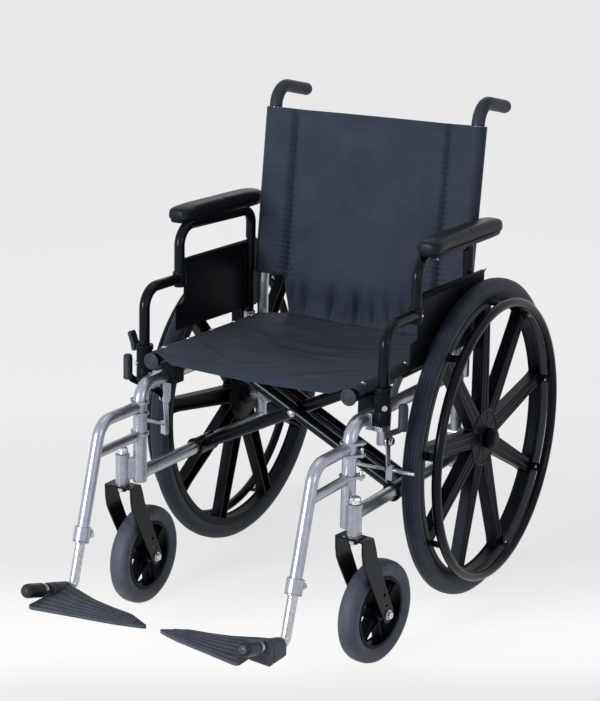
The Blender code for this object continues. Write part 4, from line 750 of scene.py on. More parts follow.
cap_neck = lathed(band(0, 0.0080, 0, 0.0092), (SEAT_RAIL_X, -0.3996, SEAT_RAIL_Z), -Y_WAY, 24)
twins("seat_rail_cap", merged(cap_disc, cap_neck), grip_vinyl, RAIL_BODIES, None, edge=0.0004)
bite = TUBE_R + 0.0003
reach = math.degrees(math.acos(0.0065 / bite))
low, high = (SEAT_RAIL_X - 0.0125, UPPER_RAIL_Z - 0.012), (SEAT_RAIL_X + 0.0175, SEAT_RAIL_Z - 0.0065)
round_seat = arc((SEAT_RAIL_X, SEAT_RAIL_Z), bite, 270 + reach, 270 - reach, 12)
saddle_outline = [low, (high[0], low[1]), high, *round_seat, (low[0], high[1])]
saddle = plate(saddle_outline, -0.352, -0.322, "y")
ribs = [
    brick((SEAT_RAIL_X - 0.0133, y, UPPER_RAIL_Z - 0.010), (SEAT_RAIL_X - 0.0120, y + 0.0024, SEAT_RAIL_Z - 0.009))
    for y in (-0.348, -0.341, -0.334, -0.327)
]
twins("seat_saddle", merged(saddle, *ribs), wheel_nylon, "side", "rail_saddle", edge=0.0012)

# Seat cloth. One sheet of coated nylon, stretched between the seat rails, with
# a hem turned down at the front. A strip along each rail holds it under screws.
# Woven nylon: slate threads over and under at 1.3 mm, which is coarser than the
# real 0.5 mm so that the weave shows, with faint clouds of wear.
slate_cloth, tree, shader = surface(
    "woven_slate_nylon", "slate_nylon", Specular_Tint=BLUE_CAST, Roughness=0.62, Specular_IOR_Level=0.16,
    Sheen_Weight=0.06, Sheen_Roughness=0.4,
)
cut = put(tree, "UVMap", uv_map="cut").outputs["UV"]
THREADS = math.tau / 20 / 0.0013
over = put(tree, "TexWave", {"Vector": cut, "Scale": THREADS}, bands_direction="X")
under = put(tree, "TexWave", {"Vector": cut, "Scale": THREADS}, bands_direction="Y")
weave = put(tree, "Math", {0: over.outputs["Fac"], 1: under.outputs["Fac"]}, operation="MAXIMUM")
cloud = put(tree, "TexNoise", {"Vector": cut, "Scale": 1000 / 90, "Detail": 5, "Roughness": 0.6})
slub = put(tree, "TexNoise", {"Vector": cut, "Scale": 1000 / 2.5, "Detail": 3})
tone = put(tree, "MapRange", {"Value": cloud.outputs[0], "From Min": 0.3, "From Max": 0.7})
tone = put(tree, "MixRGB", {"Fac": tone.outputs[0], "Color1": srgb("#2e3440"), "Color2": srgb("#3b4250")})
mix = {"Fac": 0.3, "Color1": tone.outputs[0], "Color2": slub.outputs[0]}
speck = put(tree, "MixRGB", mix, blend_type="SOFT_LIGHT")
tree.links.new(speck.outputs[0], shader.inputs["Base Color"])
skin = put(tree, "Bump", {"Height": weave.outputs[0], "Strength": 0.35, "Distance": 0.0003})
skin = put(tree, "Bump", {"Height": slub.outputs[0], "Strength": 0.3, "Distance": 0.0003, "Normal": skin.outputs[0]})
tree.links.new(skin.outputs[0], shader.inputs["Normal"])


def cloth_sheet(grid, missing=()):
    """A closed sheet over a grid of (outer point, inner point, cut place), without the missing cells."""
    work = bmesh.new()
    flat = work.loops.layers.uv.new("cut")
    faces = []
    corners = {}
    for layer in (0, 1):
        for i, row in enumerate(grid):
            for k, places in enumerate(row):
                corners[layer, i, k] = work.verts.new(places[layer])

    def face(keys):
        made = work.faces.new([corners[key] for key in keys])
        for loop, (layer, i, k) in zip(made.loops, keys):
            loop[flat].uv = grid[i][k][2]
        faces.append(made)

    edges = {}
    for i in range(len(grid) - 1):
        for k in range(len(grid[0]) - 1):
            if (i, k) in missing:
                continue
            ring = [(i, k), (i, k + 1), (i + 1, k + 1), (i + 1, k)]
            face([(0, *at) for at in ring])
            face([(1, *at) for at in reversed(ring)])
            for a, b in zip(ring, ring[1:] + ring[:1]):
                if (b, a) in edges:
                    del edges[b, a]
                else:
                    edges[a, b] = True
    for a, b in edges:
        face([(0, *b), (0, *a), (1, *a), (1, *b)])
    bmesh.ops.delete(work, geom=[v for v in work.verts if not v.link_faces], context="VERTS")
    bmesh.ops.remove_doubles(work, verts=work.verts, dist=0.00002)
    bmesh.ops.dissolve_degenerate(work, edges=work.edges, dist=0.00001)
    bmesh.ops.recalc_face_normals(work, faces=work.faces)
    mesh = bpy.data.meshes.new("cloth")
    work.to_mesh(mesh)
    work.free()
    mesh.shade_smooth()
    mesh.set_sharp_from_angle(angle=math.radians(70))
    return mesh


CREASE_GAIN = 1.9


def crease(place, middle, along, long, wide, depth):
    """How far a soft crease lowers the cloth at a place of its flat cut."""
    offset = Vector(place) - Vector(middle)
    way = Vector((math.cos(math.radians(along)), math.sin(math.radians(along))))
    run = offset.dot(way)
    off = offset.dot(Vector((-way.y, way.x)))
    return CREASE_GAIN * depth * math.exp(-((run / long) ** 2) - (off / wide) ** 2)


CLOTH = 0.0024
WRAP_R = TUBE_R / math.cos(math.pi / 12) + 0.0003
SEAT_FRONT = -0.408
SEAT_LONG = 0.412
# Where the sheet is creased: middle (x, y), direction, length, width and depth in metres
SEAT_CREASES = (
    ((0.02, -0.13), 4, 0.11, 0.012, 0.0030),
    ((-0.05, -0.085), -6, 0.09, 0.010, -0.0022),
    ((0.06, -0.165), 8, 0.10, 0.011, -0.0024),
    ((0.00, -0.20), -3, 0.12, 0.013, 0.0026),
    ((-0.07, -0.235), 10, 0.08, 0.010, -0.0018),
    ((0.07, -0.255), -12, 0.07, 0.010, 0.0020),
    ((-0.02, -0.29), 6, 0.10, 0.011, -0.0016),
    ((0.10, -0.09), 18, 0.05, 0.008, 0.0018),
    ((-0.11, -0.15), -20, 0.05, 0.008, 0.0018),
    ((0.12, -0.335), 35, 0.05, 0.006, 0.0018),
    ((-0.03, -0.352), 28, 0.030, 0.005, 0.0016),
    ((0.02, -0.345), 40, 0.035, 0.005, -0.0012),
    ((-0.13, -0.31), -30, 0.05, 0.007, 0.0015),
    ((0.08, -0.375), 70, 0.022, 0.005, 0.0014),
    ((-0.09, -0.378), 80, 0.022, 0.005, 0.0012),
)
seat_rows = [SEAT_FRONT, SEAT_FRONT + 0.0015, SEAT_FRONT + 0.004]
seat_rows += [SEAT_FRONT + 0.008 + (SEAT_LONG - 0.008) * k / 84 for k in range(85)]
# A column is an angle round the rail, or a distance in from it
half_columns = [(angle, None) for angle in range(10, 90, 10)]
half_columns += [(None, 0.004 + (SEAT_RAIL_X - 0.004) * k / 42) for k in range(43)]


def both_sides(half):
    """The columns of both halves of a cloth, each with its side, from left to right."""
    return [(1, *column) for column in half] + [(-1, *column) for column in reversed(half[:-1])]


seat_grid = []
for y in seat_rows:
    hem = max(0.0, 1 - (y - SEAT_FRONT) / 0.020)
    rail_y = min(max(y, -0.397), -0.030)
    row = []
    for side, angle, inward in both_sides(half_columns):
        if inward is None:
            way = Vector((side * math.cos(math.radians(angle)), 0, math.sin(math.radians(angle))))
            middle = Vector((side * SEAT_RAIL_X, rail_y, SEAT_RAIL_Z))
            inner = middle + way * WRAP_R
            outer = middle + way * (WRAP_R + CLOTH)
            run = SEAT_RAIL_X + math.radians(90 - angle) * (WRAP_R + CLOTH)
        else:
            run = SEAT_RAIL_X - inward
            free = min(1.0, inward / SEAT_RAIL_X / 0.2)
            here_y = rail_y + (y - rail_y) * free
            pillow = 0.55 + 0.95 * math.exp(-(((y + 0.13) / 0.095) ** 2))
            sag = 0.0095 * math.sin(math.pi / 2 * inward / SEAT_RAIL_X) ** 1.5 * pillow
            place = (side * run, y)
            soft = min(1.0, inward / 0.03) * min(1.0, (y - SEAT_FRONT) / 0.03)
            sag += soft * sum(crease(place, *fold) for fold in SEAT_CREASES)
            sag += soft * 0.0016 * noise.noise(Vector((place[0] * 14, y * 26, 3.7)))
            stitch = 0.0009 * math.exp(-(((y - SEAT_FRONT - 0.034) / 0.0022) ** 2)) * free
            drop = 0.015 * hem**1.6 * free
            outer = Vector((side * run, here_y, SEAT_RAIL_Z + WRAP_R + CLOTH - sag - drop - stitch))
            inner = outer + Vector((0, CLOTH * hem**0.7 * free, -CLOTH * (1 - 0.3 * hem)))
        row.append((outer, inner, (side * run, y)))
    seat_grid.append(row)
seat_cloth = piece(
    "seat_cloth", cloth_sheet(seat_grid), slate_cloth, "right_seat_cloth", ["seat_sling_left", "seat_sling_right"]
)
seat_cloth.parent = None
seat_cloth.matrix_world = LEAN
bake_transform(seat_cloth)

seat_screws = []
for y in (-0.365, -0.285, -0.205, -0.125, -0.060):
    way = Vector((math.sin(math.radians(12)), 0, math.cos(math.radians(12))))
    at = Vector((SEAT_RAIL_X, y, SEAT_RAIL_Z)) + way * (WRAP_R + CLOTH)
    seat_screws.append(lathed(mm("6.2 0, 6.2 0.7, 3.5 1, 3.4 2, 2 2.8, 0 3, 0 0"), at, way, 20))
twins("seat_screws", merged(*seat_screws), zinc, RAIL_BODIES, None)
SEAT_RAIL_AT = (SEAT_RAIL_X, SEAT_RAIL_Z)
section = arc(SEAT_RAIL_AT, WRAP_R + CLOTH, 118, 38, 10)
section += arc(SEAT_RAIL_AT, WRAP_R + CLOTH + 0.0009, 38, 118, 10)
edge_strip = lofted([[Vector((x, y, z)) for x, z in section] for y in (-0.394, -0.032)])
edge_strip.uv_layers.new(name="cut")  # The cloth's material finds its threads through this map
twins("seat_edge_strip", edge_strip, slate_cloth, RAIL_BODIES, None)

# Back cloth. One sheet with a sewn sleeve round each cane. The seams beside the
# sleeves are gathered by a zigzag stitch, and the foot hangs free in folds.
BACK_BOTTOM = 0.563
BACK_TOP = SLEEVE_TOP_Z
FLAP_BOTTOM = 0.463
POCKET_R = 0.0175
SEAM_IN = 0.054
SEAM_AHEAD = 0.010
SEAM_X = FRAME_X - SEAM_IN
BACK_CREASES = (
    ((-0.124, 0.520), 84, 0.030, 0.0070, 0.0066),
    ((-0.067, 0.513), 80, 0.034, 0.0080, 0.0078),
    ((-0.012, 0.512), 86, 0.036, 0.0080, 0.0080),
    ((0.024, 0.508), 92, 0.026, 0.0060, 0.0046),
    ((0.058, 0.512), 95, 0.030, 0.0070, 0.0056),
    ((0.096, 0.512), 96, 0.030, 0.0065, 0.0050),
    ((0.130, 0.518), 99, 0.028, 0.0056, 0.0042),
    ((-0.150, 0.524), 76, 0.026, 0.0040, 0.0030),
    ((-0.040, 0.506), 88, 0.020, 0.0060, -0.0030),
)


def back_relief(x, z):
    """How far the back cloth stands forward of its plain form."""
    lift = -sum(crease((x, z), *fold) for fold in BACK_CREASES)
    off = abs(x) - SEAM_X
    low = 1 - min(1.0, max(0.0, (z - BACK_BOTTOM) / (BACK_TOP - BACK_BOTTOM)))
    if z > BACK_BOTTOM - 0.008:
        lift -= 0.0085 * math.exp(-((off / 0.0060) ** 2))
        gather = 0.0013 + 0.0033 * low**1.3
        lift += gather * math.sin(math.tau * z / 0.0105) * math.exp(-((off / (0.007 + 0.007 * low)) ** 2))
    spread = Vector((off, z - BACK_BOTTOM - 0.004))
    if spread.length > 0.002:
        fan = math.atan2(spread.y, -spread.x)
        lift += 0.0034 * math.sin(fan * 9) * math.exp(-spread.length / 0.020) * min(1, spread.length / 0.008)
    inside = max(0.0, min(1.0, -off / 0.05))
    lift += 0.0013 * inside * noise.noise(Vector((x * 11, z * 9, 1.3)))
    lift -= 0.0018 * math.exp(-(((z - BACK_TOP + 0.011) / 0.0022) ** 2)) * (1 if off < 0 else 0.4)
    return lift


# A column is its distance out from the cane, its half thickness and how far
# behind the cane its middle lies at the foot and at the top
half_columns = []
for a in range(0, 90, 10):
    half_columns.append((POCKET_R * math.cos(math.radians(a)), POCKET_R * math.sin(math.radians(a)), 0, 0))
for k in range(19):
    share = k / 18
    half = 0.002 + (POCKET_R - 0.002) * (1 - share**2)
    ahead = -SEAM_AHEAD * share**2
    half_columns.append((-SEAM_IN * share, half, ahead, ahead))
SEAM_COLUMN = len(half_columns) - 1
for k in range(1, 49):
    swing = math.sin(math.pi / 2 * k / 48)
    bow = [(SEAM_AHEAD + deep) * swing - SEAM_AHEAD for deep in (0.009, 0.00585)]
    half_columns.append((-SEAM_IN - SEAM_X * k / 48, 0.002, *bow))
back_columns = both_sides(half_columns)
flap_rows = 18
back_rows = [FLAP_BOTTOM + (BACK_BOTTOM - FLAP_BOTTOM) * k / flap_rows for k in range(flap_rows)]
back_rows += [BACK_BOTTOM + (BACK_TOP - BACK_BOTTOM) * k / 128 for k in range(129)]
back_grid = []
for z in back_rows:
    height = max(0.0, (z - BACK_BOTTOM) / (BACK_TOP - BACK_BOTTOM))
    below = max(0.0, (BACK_BOTTOM - z) / (BACK_BOTTOM - FLAP_BOTTOM))
    middle = cane_at(max(z, BACK_BOTTOM))
    row = []
    for side, x, half, low_bow, high_bow in back_columns:
        across = FRAME_X + x
        bow = low_bow + (high_bow - low_bow) * height
        lift = back_relief(side * across, z)
        base = Vector((side * across, middle.y, z)) - CANE_FORWARD * bow
        hung = 0.012 + 0.3 * (base.y + SEAM_AHEAD)
        base.y += (hung - base.y) * math.sin(math.pi / 2 * min(1, below * 1.2)) ** 2
        base.z = z + (base.z - z) * (1 - below)
        front = base + CANE_FORWARD * (half + (lift if half < 0.0165 else 0))
        behind = base - CANE_FORWARD * (half - (lift if half < 0.0025 else 0))
        row.append((front, behind, (side * across, z)))
    back_grid.append(row)
last = len(back_columns) - 1
bare = {(i, k) for i in range(flap_rows) for k in range(last) if k < SEAM_COLUMN or k >= last - SEAM_COLUMN}
back_cloth = piece(
    "back_cloth", cloth_sheet(back_grid, bare), slate_cloth, "left_back_cloth",
    ["back_sling_left", "back_sling_right"],
)
back_cloth.parent = None
back_cloth.matrix_world = LEAN
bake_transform(back_cloth)

# The zigzag thread that gathers each seam, a stitch every 5 mm
zigzag = []
for side in (-1, 1):
    line = []
    for k in range(int((BACK_TOP - BACK_BOTTOM - 0.012) / 0.0026)):
        z = BACK_BOTTOM + 0.004 + 0.0026 * k
        x = SEAM_X + (0.0016 if k % 2 else -0.0016)
        line.append(Vector((side * x, cane_at(z).y, z)) + CANE_FORWARD * (0.0026 + SEAM_AHEAD + back_relief(x, z)))
    zigzag.append(tube(line, 0.0006, 6))
thread = mottled("bonded_nylon_thread", "slate_nylon", "#0a0b0f", "#13151a", 2, (0.4, 0.6), 0.5, 0.02, Roughness=0.5)
for side, mesh in zip(("right", "left"), zigzag):
    piece("back_seam_stitches_" + side, mesh, thread, side + "_back_cloth")

# Armrests. Enamelled steel tube: a low front loop steps up at a collar to the
# tube under the pad, and a thinner rear leg drops into its own socket.
ARM_STEP_Z = 0.591
ARM_TOP_Z = 0.691
UPRIGHT_Y = -0.254
low_line = rounded([(ARM_X, ARM_Y, 0.424), (ARM_X, ARM_Y, ARM_STEP_Z), (ARM_X, UPRIGHT_Y, ARM_STEP_Z)], 0.038)
high_line = rounded(
    [
        (ARM_X, UPRIGHT_Y, ARM_STEP_Z - 0.016), (ARM_X, UPRIGHT_Y, ARM_TOP_Z),
        (REAR_X, REAR_Y, ARM_TOP_Z), (REAR_X, REAR_Y, 0.634),
    ],
    [0.038, 0.026],
)
collar_profile = mm("9.8 -13, 12.2 -13, 13 -12, 13 12, 12.2 13, 9.8 13")
armrest = merged(
    tube(low_line, 0.010),
    tube(high_line, 0.010),
    lathed(collar_profile, (ARM_X, UPRIGHT_Y, ARM_STEP_Z), Z_WAY, 32),
    tube([(REAR_X, REAR_Y, 0.4345), (REAR_X, REAR_Y, 0.640)], 0.0085),
)
twins("armrest_tubes", armrest, black_enamel, "armrest", "armrest_frame", edge=0.0005)
arm_screws = merged(
    screw((ARM_X + 0.0130, UPRIGHT_Y, ARM_STEP_Z), X_WAY, 0.8),
    screw((ARM_X, UPRIGHT_Y - 0.0130, ARM_STEP_Z + 0.004), -Y_WAY, 0.8),
    screw((ARM_X + 0.006, -0.190, ARM_TOP_Z - 0.0095), -Z_WAY, 0.9),
    screw((ARM_X + 0.001, -0.070, ARM_TOP_Z - 0.0095), -Z_WAY, 0.9),
)
twins("armrest_screws", arm_screws, zinc, "armrest", None)

# Arm pads. A foam cushion under stretched vinyl on a moulded base, drawn in
# along a sewn edge. The foam's push against its cover is simulated.
# Expanded vinyl: near black with a blue cast, a leather grain of about 2 mm
pad_vinyl = mottled(
    "grained_black_vinyl", "black_vinyl", "#14161d", "#20232c", 35, (0.3, 0.44), 2, 0.12,
    Specular_Tint=BLUE_CAST, Specular_IOR_Level=0.16,
)
PAD_X = FRAME_X + 0.043
PAD_LOW = 0.6943
PAD_HALF = 0.0243
PAD_MIDDLE_Y = -0.1062


def pad_ring(y, grow):
    """One section of the cushion, across the arm."""
    one_side = [
        (0.60, 0.006), (0.92, 0.006), (0.985, 0.010), (0.99, 0.016), (0.93, 0.0235), (0.72, 0.0280), (0.40, 0.0295)
    ]
    ring = one_side + [(0, 0.030)] + [(-a, h) for a, h in reversed(one_side)]
    rise = 0.55 + 0.45 * grow
    return [Vector((PAD_X + PAD_HALF * grow * a, y, PAD_LOW + 0.006 + (h - 0.006) * rise)) for a, h in ring]


PAD_STATIONS = (
    (-0.2505, 0.50), (-0.2490, 0.66), (-0.2455, 0.80), (-0.2395, 0.92), (-0.2290, 0.985), (-0.20, 1.0), (-0.10, 1.0),
    (0.0, 1.0), (0.016, 0.985), (0.026, 0.93), (0.0325, 0.82), (0.0365, 0.66), (0.038, 0.48),
)
cushion = lofted([pad_ring(*station) for station in PAD_STATIONS])


def swelled(mesh, voxel, pressure, cap):
    """The form after its filling has pushed its cover out, by no more than the cap."""
    form = bpy.data.objects.new("form", mesh)
    bpy.context.collection.objects.link(form)
    even = form.modifiers.new("even", "REMESH")
    even.mode = "VOXEL"
    even.voxel_size = voxel
    bpy.context.view_layer.update()
    form.data = bpy.data.meshes.new_from_object(form.evaluated_get(bpy.context.evaluated_depsgraph_get()))
    form.modifiers.clear()
    cover = form.modifiers.new("cover", "CLOTH")
    cover.settings.use_pressure = True
    cover.settings.uniform_pressure_force = pressure
    cover.settings.effector_weights.gravity = 0
    for number in range(1, 21):
        bpy.context.scene.frame_set(number)
    puffed = form.evaluated_get(bpy.context.evaluated_depsgraph_get()).data
    for vertex, other in zip(form.data.vertices, puffed.vertices):
        move = other.co - vertex.co
        vertex.co += move * min(1, cap / max(move.length, cap))
    form.modifiers.clear()
    bpy.context.scene.frame_set(1)
    work = bmesh.new()
    work.from_mesh(form.data)
    bmesh.ops.smooth_vert(work, verts=work.verts, factor=0.5, use_axis_x=True, use_axis_y=True, use_axis_z=True)
    bmesh.ops.subdivide_edges(work, edges=work.edges, cuts=1, use_grid_fill=True, smooth=1.0)
    bpy.data.objects.remove(form)
    return done(work, 60)


cushion = swelled(cushion, 0.004, 4.0, 0.0022)
for vertex in cushion.vertices:
    vertex.co.z = max(vertex.co.z, PAD_LOW + 0.0055)
pads = twins("arm_cushion", cushion, pad_vinyl, "armrest", "arm_pad")


def pad_oblong(half_wide, half_long, rise, end, steps):
    """The pad's rounded oblong outline at a height over its underside."""
    ring = []
    for x, y in arc((0, 0), 1, 0, end, steps):
        wide = half_wide * math.copysign(abs(x) ** 0.5, x)
        long = half_long * math.copysign(abs(y) ** 0.3, y)
        ring.append(Vector((PAD_X + wide, PAD_MIDDLE_Y + long, PAD_LOW + rise)))
    return ring


base_rings = []
for rise, grow in ((0.0, 0.80), (0.0010, 0.90), (0.0060, 0.955), (0.0068, 0.93)):
    base_rings.append(pad_oblong(PAD_HALF * grow, 0.1432 - (1 - grow) * 0.02, rise, 354, 59))
twins("arm_pad_base", lofted(base_rings), wheel_nylon, "armrest", "arm_pad", edge=0.0004)
# The piping lies along the sewn edge
piping = pad_oblong(PAD_HALF * 0.985, 0.1430, 0.0080, 360, 90)
twins("arm_pad_piping", tube(piping, 0.0010, 8), pad_vinyl, "armrest", None)

# Side guards. A thin moulded panel riveted inside the armrest, with a rolled
# front edge and a lip that flares out over the wheel.
GUARD_IN = ARM_X - 0.0027
GUARD_OUT = GUARD_IN + 0.002
GUARD_FRONT = UPRIGHT_Y + 0.0133
guard_outline = mm("0 626, 0 547, -2 543", GUARD_FRONT)
guard_outline += mm("-266 540, -268 537, -268 494, -266 492, 20 488, 28 491, 32 500, 32 614, 29 621, 22 624")
guard = plate(guard_outline, GUARD_IN, GUARD_OUT, "x")
lip_outline = mm("-2 612, 0 612, 2 617.5, 4.2 622.5, 6.6 625, 6 626.2, 3 624, 0.6 619.5", GUARD_OUT)
lip = plate(lip_outline, GUARD_FRONT + 0.004, 0.027, "y")
twins("side_guard_panel", merged(guard, lip), wheel_nylon, "armrest", "side_guard", edge=0.0007)
rolled = tube([(GUARD_IN + 0.001, GUARD_FRONT + 0.003, z) for z in (0.548, 0.624)], 0.0026, 14)
rivets = [screw((GUARD_IN, y, z), -X_WAY, 0.8) for y, z in mm("-225 615, -225 560, -30 615, -30 510")]
twins("side_guard_roll", rolled, wheel_nylon, "armrest", "side_guard")
twins("side_guard_rivets", merged(*rivets), wheel_nylon, "armrest", None)

# Front arm sockets. A moulded black cup round each front leg, clamped by a hex
# screw, with a sprung paddle on its outer side that lets the arm go.
socket_profile = mm(
    "11.8 417.6, 14 419.6, 14.8 422.6, 14.8 442, 14.3 442.8, 14.3 444.4, 14.8 445.2, 14.8 476, 15.8 477.2, "
    "16.6 478.4, 16.6 485.6, 15.8 486.8, 10.6 486.8, 10.4 484.5, 10.4 417.6"
)
socket = lathed(socket_profile, (ARM_X, ARM_Y, 0), Z_WAY, 40)
twins("arm_socket_cup", socket, wheel_nylon, "side", "arm_socket")
screw_way = Vector((0.62, -0.78, 0)).normalized()
screw_at = Vector((ARM_X, ARM_Y, 0.452)) + screw_way * 0.0146
socket_screw = merged(
    lathed(band(0.0, 0.0050, 0.0, 0.0010), screw_at, screw_way, 20),
    lathed(mm("0 0.8, 3.6 0.8, 3.6 3, 3 3.6, 0 3.6"), screw_at, screw_way, 6),
)
twins("arm_socket_screw", socket_screw, zinc, "side", None)
PADDLE_X = ARM_X + 0.0169
paddle_outline = mm(
    "0 473, 6 473, 7.8 479, 9 485.6, 12 494, 15.5 503.6, 15.7 506.6, 13 509, 9.5 508.2, 5.8 500, 3 491, "
    "0.5 487.4, 0 483",
    PADDLE_X,
)
paddle = plate(paddle_outline, ARM_Y - 0.009, ARM_Y + 0.009, "y")
twins("arm_release_paddle", paddle, grip_vinyl, "arm_release", "arm_release_lever", edge=0.0014)

# Swing-away footrests. A bent tube with a brace hangs on the post by two ring
# plates, whose pins lock it. A thinner tube slides in its foot, under a clamp.
HANGER_Z = 0.387
HANGER_Y = -0.547
HANGER_TILT = math.radians(16.5)
DOWN = Vector((0, -math.sin(HANGER_TILT), -math.cos(HANGER_TILT)))
AHEAD = Vector((0, -math.cos(HANGER_TILT), math.sin(HANGER_TILT)))


def on_leg(z):
    """The middle of the hanger's leg at a height."""
    return Vector((FRAME_X, HANGER_Y, HANGER_Z)) + DOWN * ((HANGER_Z - z) / math.cos(HANGER_TILT))


hanger_end = on_leg(0.186)
RING_IN = TUBE_R + 0.0008
hanger_line = rounded(
    [(FRAME_X, POST_Y - RING_IN - 0.0004, HANGER_Z), (FRAME_X, HANGER_Y, HANGER_Z), hanger_end], 0.038
)
BRACE_Z = 0.332
hanger_brace = [(FRAME_X, POST_Y - RING_IN - 0.0004, BRACE_Z), on_leg(BRACE_Z) - AHEAD * 0.003]
twins("hanger_tube", tube(hanger_line, 0.011), silver_coat, "hanger", "hanger", edge=0.0008)
twins("hanger_brace", tube(hanger_brace, 0.009), silver_coat, "hanger", "hanger")


def ring_plate(z):
    """A plate round the post, with an ear for the catch pin on its outer side."""
    ear = mm("24.5 4, 24.5 14, 22.5 16.5, 12 20", FRAME_X, POST_Y)
    outline = arc((FRAME_X, POST_Y), 0.0172, 125, 350, 26) + ear
    hole = arc((FRAME_X, POST_Y), RING_IN, 0, 348, 29)
    return plate(outline, z, z + 0.005, "z", [hole])


ring_plates = merged(ring_plate(HANGER_Z - 0.015), ring_plate(HANGER_Z + 0.006), ring_plate(BRACE_Z + 0.001))
twins("hanger_ring_plates", ring_plates, silver_coat, "hanger", "hanger", edge=0.0008)
pins = []
for z in (HANGER_Z - 0.018, BRACE_Z - 0.004):
    at = Vector((FRAME_X + 0.018, POST_Y + 0.0115, z))
    pins.append(lathed(mm("0 0, 2.6 0, 3.4 1, 3.4 16.5, 2.6 18, 0 18"), at, Z_WAY, 18))
twins("catch_pins", merged(*pins), zinc, "hanger", "hanger")

CLAMP_AT = hanger_end - DOWN * 0.009
clamp = merged(
    lathed(mm("11.3 -13, 14 -13, 14.9 -12, 14.9 12, 14 13, 11.3 13"), CLAMP_AT, DOWN, 36),
    lathed(mm("9.1 13, 14.9 13, 14.9 15, 13.8 16, 9.1 16"), CLAMP_AT, DOWN, 36),
)
twins("height_clamp", clamp, silver_coat, "hanger", "hanger_clamp", edge=0.0005)
ear_at = CLAMP_AT - AHEAD * 0.0189
clamp_ear = merged(
    brick(ear_at - Vector((0.0068, 0.007, 0.008)), ear_at + Vector((-0.0012, 0.006, 0.008))),
    brick(ear_at - Vector((-0.0012, 0.007, 0.008)), ear_at + Vector((0.0068, 0.006, 0.008))),
    tube([ear_at - X_WAY * 0.008, ear_at + X_WAY * 0.013], 0.0026, 12),
    lathed(band(0, 0.0054, 0.0068, 0.0110), ear_at, X_WAY, 6),
    lathed(band(0, 0.0054, 0.0068, 0.0104), ear_at, -X_WAY, 6),
)
twins("height_clamp_bolt", clamp_ear, zinc, "hanger", "hanger_clamp", edge=0.0006)

# Footrest extensions. Zinc-plated tube with a welded elbow and stub, on which
# the footplate flips. A collar and a rubber-covered knob close the stub.
stub_from = on_leg(0.101)
STUB_START = 0.016
BARREL_END = STUB_START + 0.064
extension_line = rounded([hanger_end - DOWN * 0.038, stub_from, stub_from + AHEAD * 0.03], 0.0125)
collar_from = stub_from + AHEAD * (BARREL_END + 0.0004)
extension = merged(
    tube(extension_line, 0.009),
    tube([stub_from + AHEAD * 0.012, collar_from + AHEAD * 0.012], 0.007),
    lathed(mm("7 0, 9.2 0, 9.6 0.6, 9.6 11.4, 9.2 12, 7 12"), collar_from, AHEAD, 28),
)
twins("extension_tube", extension, zinc, "hanger", "footrest_extension", edge=0.0004)
# Knob rubber: black, satin, with moulding grain
knob_rubber = mottled(
    "moulded_black_rubber", "black_plastic", "#0b0d12", "#161920", 12, (0.3, 0.44), 1.4, 0.06,
    Specular_Tint=BLUE_CAST,
)
knob_profile = mm(
    "0 0, 11.4 0, 12.6 1.2, 12.8 3, 12.8 8, 11.9 8.8, 11.9 10, 12.8 10.8, 12.8 36.2, 12.2 41.3, 10.3 44.8, "
    "7.2 46.4, 6.5 45.8, 4.4 45.8, 3.7 46.5, 0 47"
)
knob = lathed(knob_profile, collar_from + AHEAD * 0.0123, AHEAD, 36)
twins("stub_knob", knob, knob_rubber, "hanger", "footrest_knob")

# Footplates. Moulded nylon treads with raised ribs fore and aft of the pointed
# inner end, cast round a barrel that turns on the stub.
# Grey nylon, dull on top from the soles of shoes
plate_nylon = mottled(
    "worn_slate_nylon", "black_plastic", "#3f454f", "#525965", 24, (0.42, 0.58), 1.6, 0.08,
    Specular_IOR_Level=0.25,
)
PLATE_TOP = 0.104
PLATE_X = FRAME_X - 0.006
TIP_X = 0.0142
barrel_from = stub_from + AHEAD * STUB_START
tread_outline = [(PLATE_X, barrel_from.y - 0.006)] + mm("0 -762, -3 -766.5, -9 -767.5", PLATE_X)
tread_outline += mm("150 -749.5, 100 -733.5, 66 -722.5, 54 -717.5, 38 -711, 22 -703.5, 15.5 -699.5")
tread_outline.append((TIP_X, -0.6975))
tread_outline += mm("16.5 -695, 28 -690, 44 -683, 56 -678, 68 -676.5, 100 -676, 140 -672, 168 -664")
tread_outline.append((0.184, barrel_from.y - 0.012))


def lifted(mesh):
    """The plate's outer side stands 15 mm higher than its tip."""
    for vertex in mesh.vertices:
        vertex.co.z += 0.076 * (vertex.co.x - TIP_X) - 0.0010
    return mesh


tread = lifted(plate(tread_outline, PLATE_TOP - 0.0070, PLATE_TOP - 0.0012, "z"))
# Across the tread: x, and where the ribs' field begins and ends there
RIB_FIELD = (
    (0.205, -0.762, -0.662), (0.150, -0.7475, -0.6740), (0.100, -0.7315, -0.6780), (0.064, -0.7200, -0.6790),
    (0.036, -0.7080, -0.6890),
)
rib_lines = []
for share in (0.08, 0.25, 0.42, 0.59, 0.76, 0.92):
    line = [(x, front + (rear - front) * share) for x, front, rear in RIB_FIELD]
    for (xa, ya), (xb, yb) in zip(line, line[1:]):
        outline = [(xa, ya - 0.0022), (xb, yb - 0.0018), (xb, yb + 0.0018), (xa, ya + 0.0022)]
        rib_lines.append(lifted(plate(outline, PLATE_TOP - 0.003, PLATE_TOP + 0.0004, "z")))
housing = []
HOUSING = mm("0 11.6, 1.2 13, 40 13.2, 41.2 11.8, 45 11.8, 46.2 13.2, 56 13, 57.2 11.6")
for along, radius in HOUSING:
    middle = barrel_from + AHEAD * along
    ring = [middle + Vector((radius * x, 0, radius * z)) for x, z in arc((0, 0), 1, 0, 180, 12)]
    foot = [(-radius - 0.0005, 0.112), (-radius - 0.0060, 0.1045), (-radius - 0.0140, 0.0925), (radius, 0.0895)]
    ring += [Vector((middle.x + x, middle.y, z)) for x, z in foot]
    housing.append(ring)
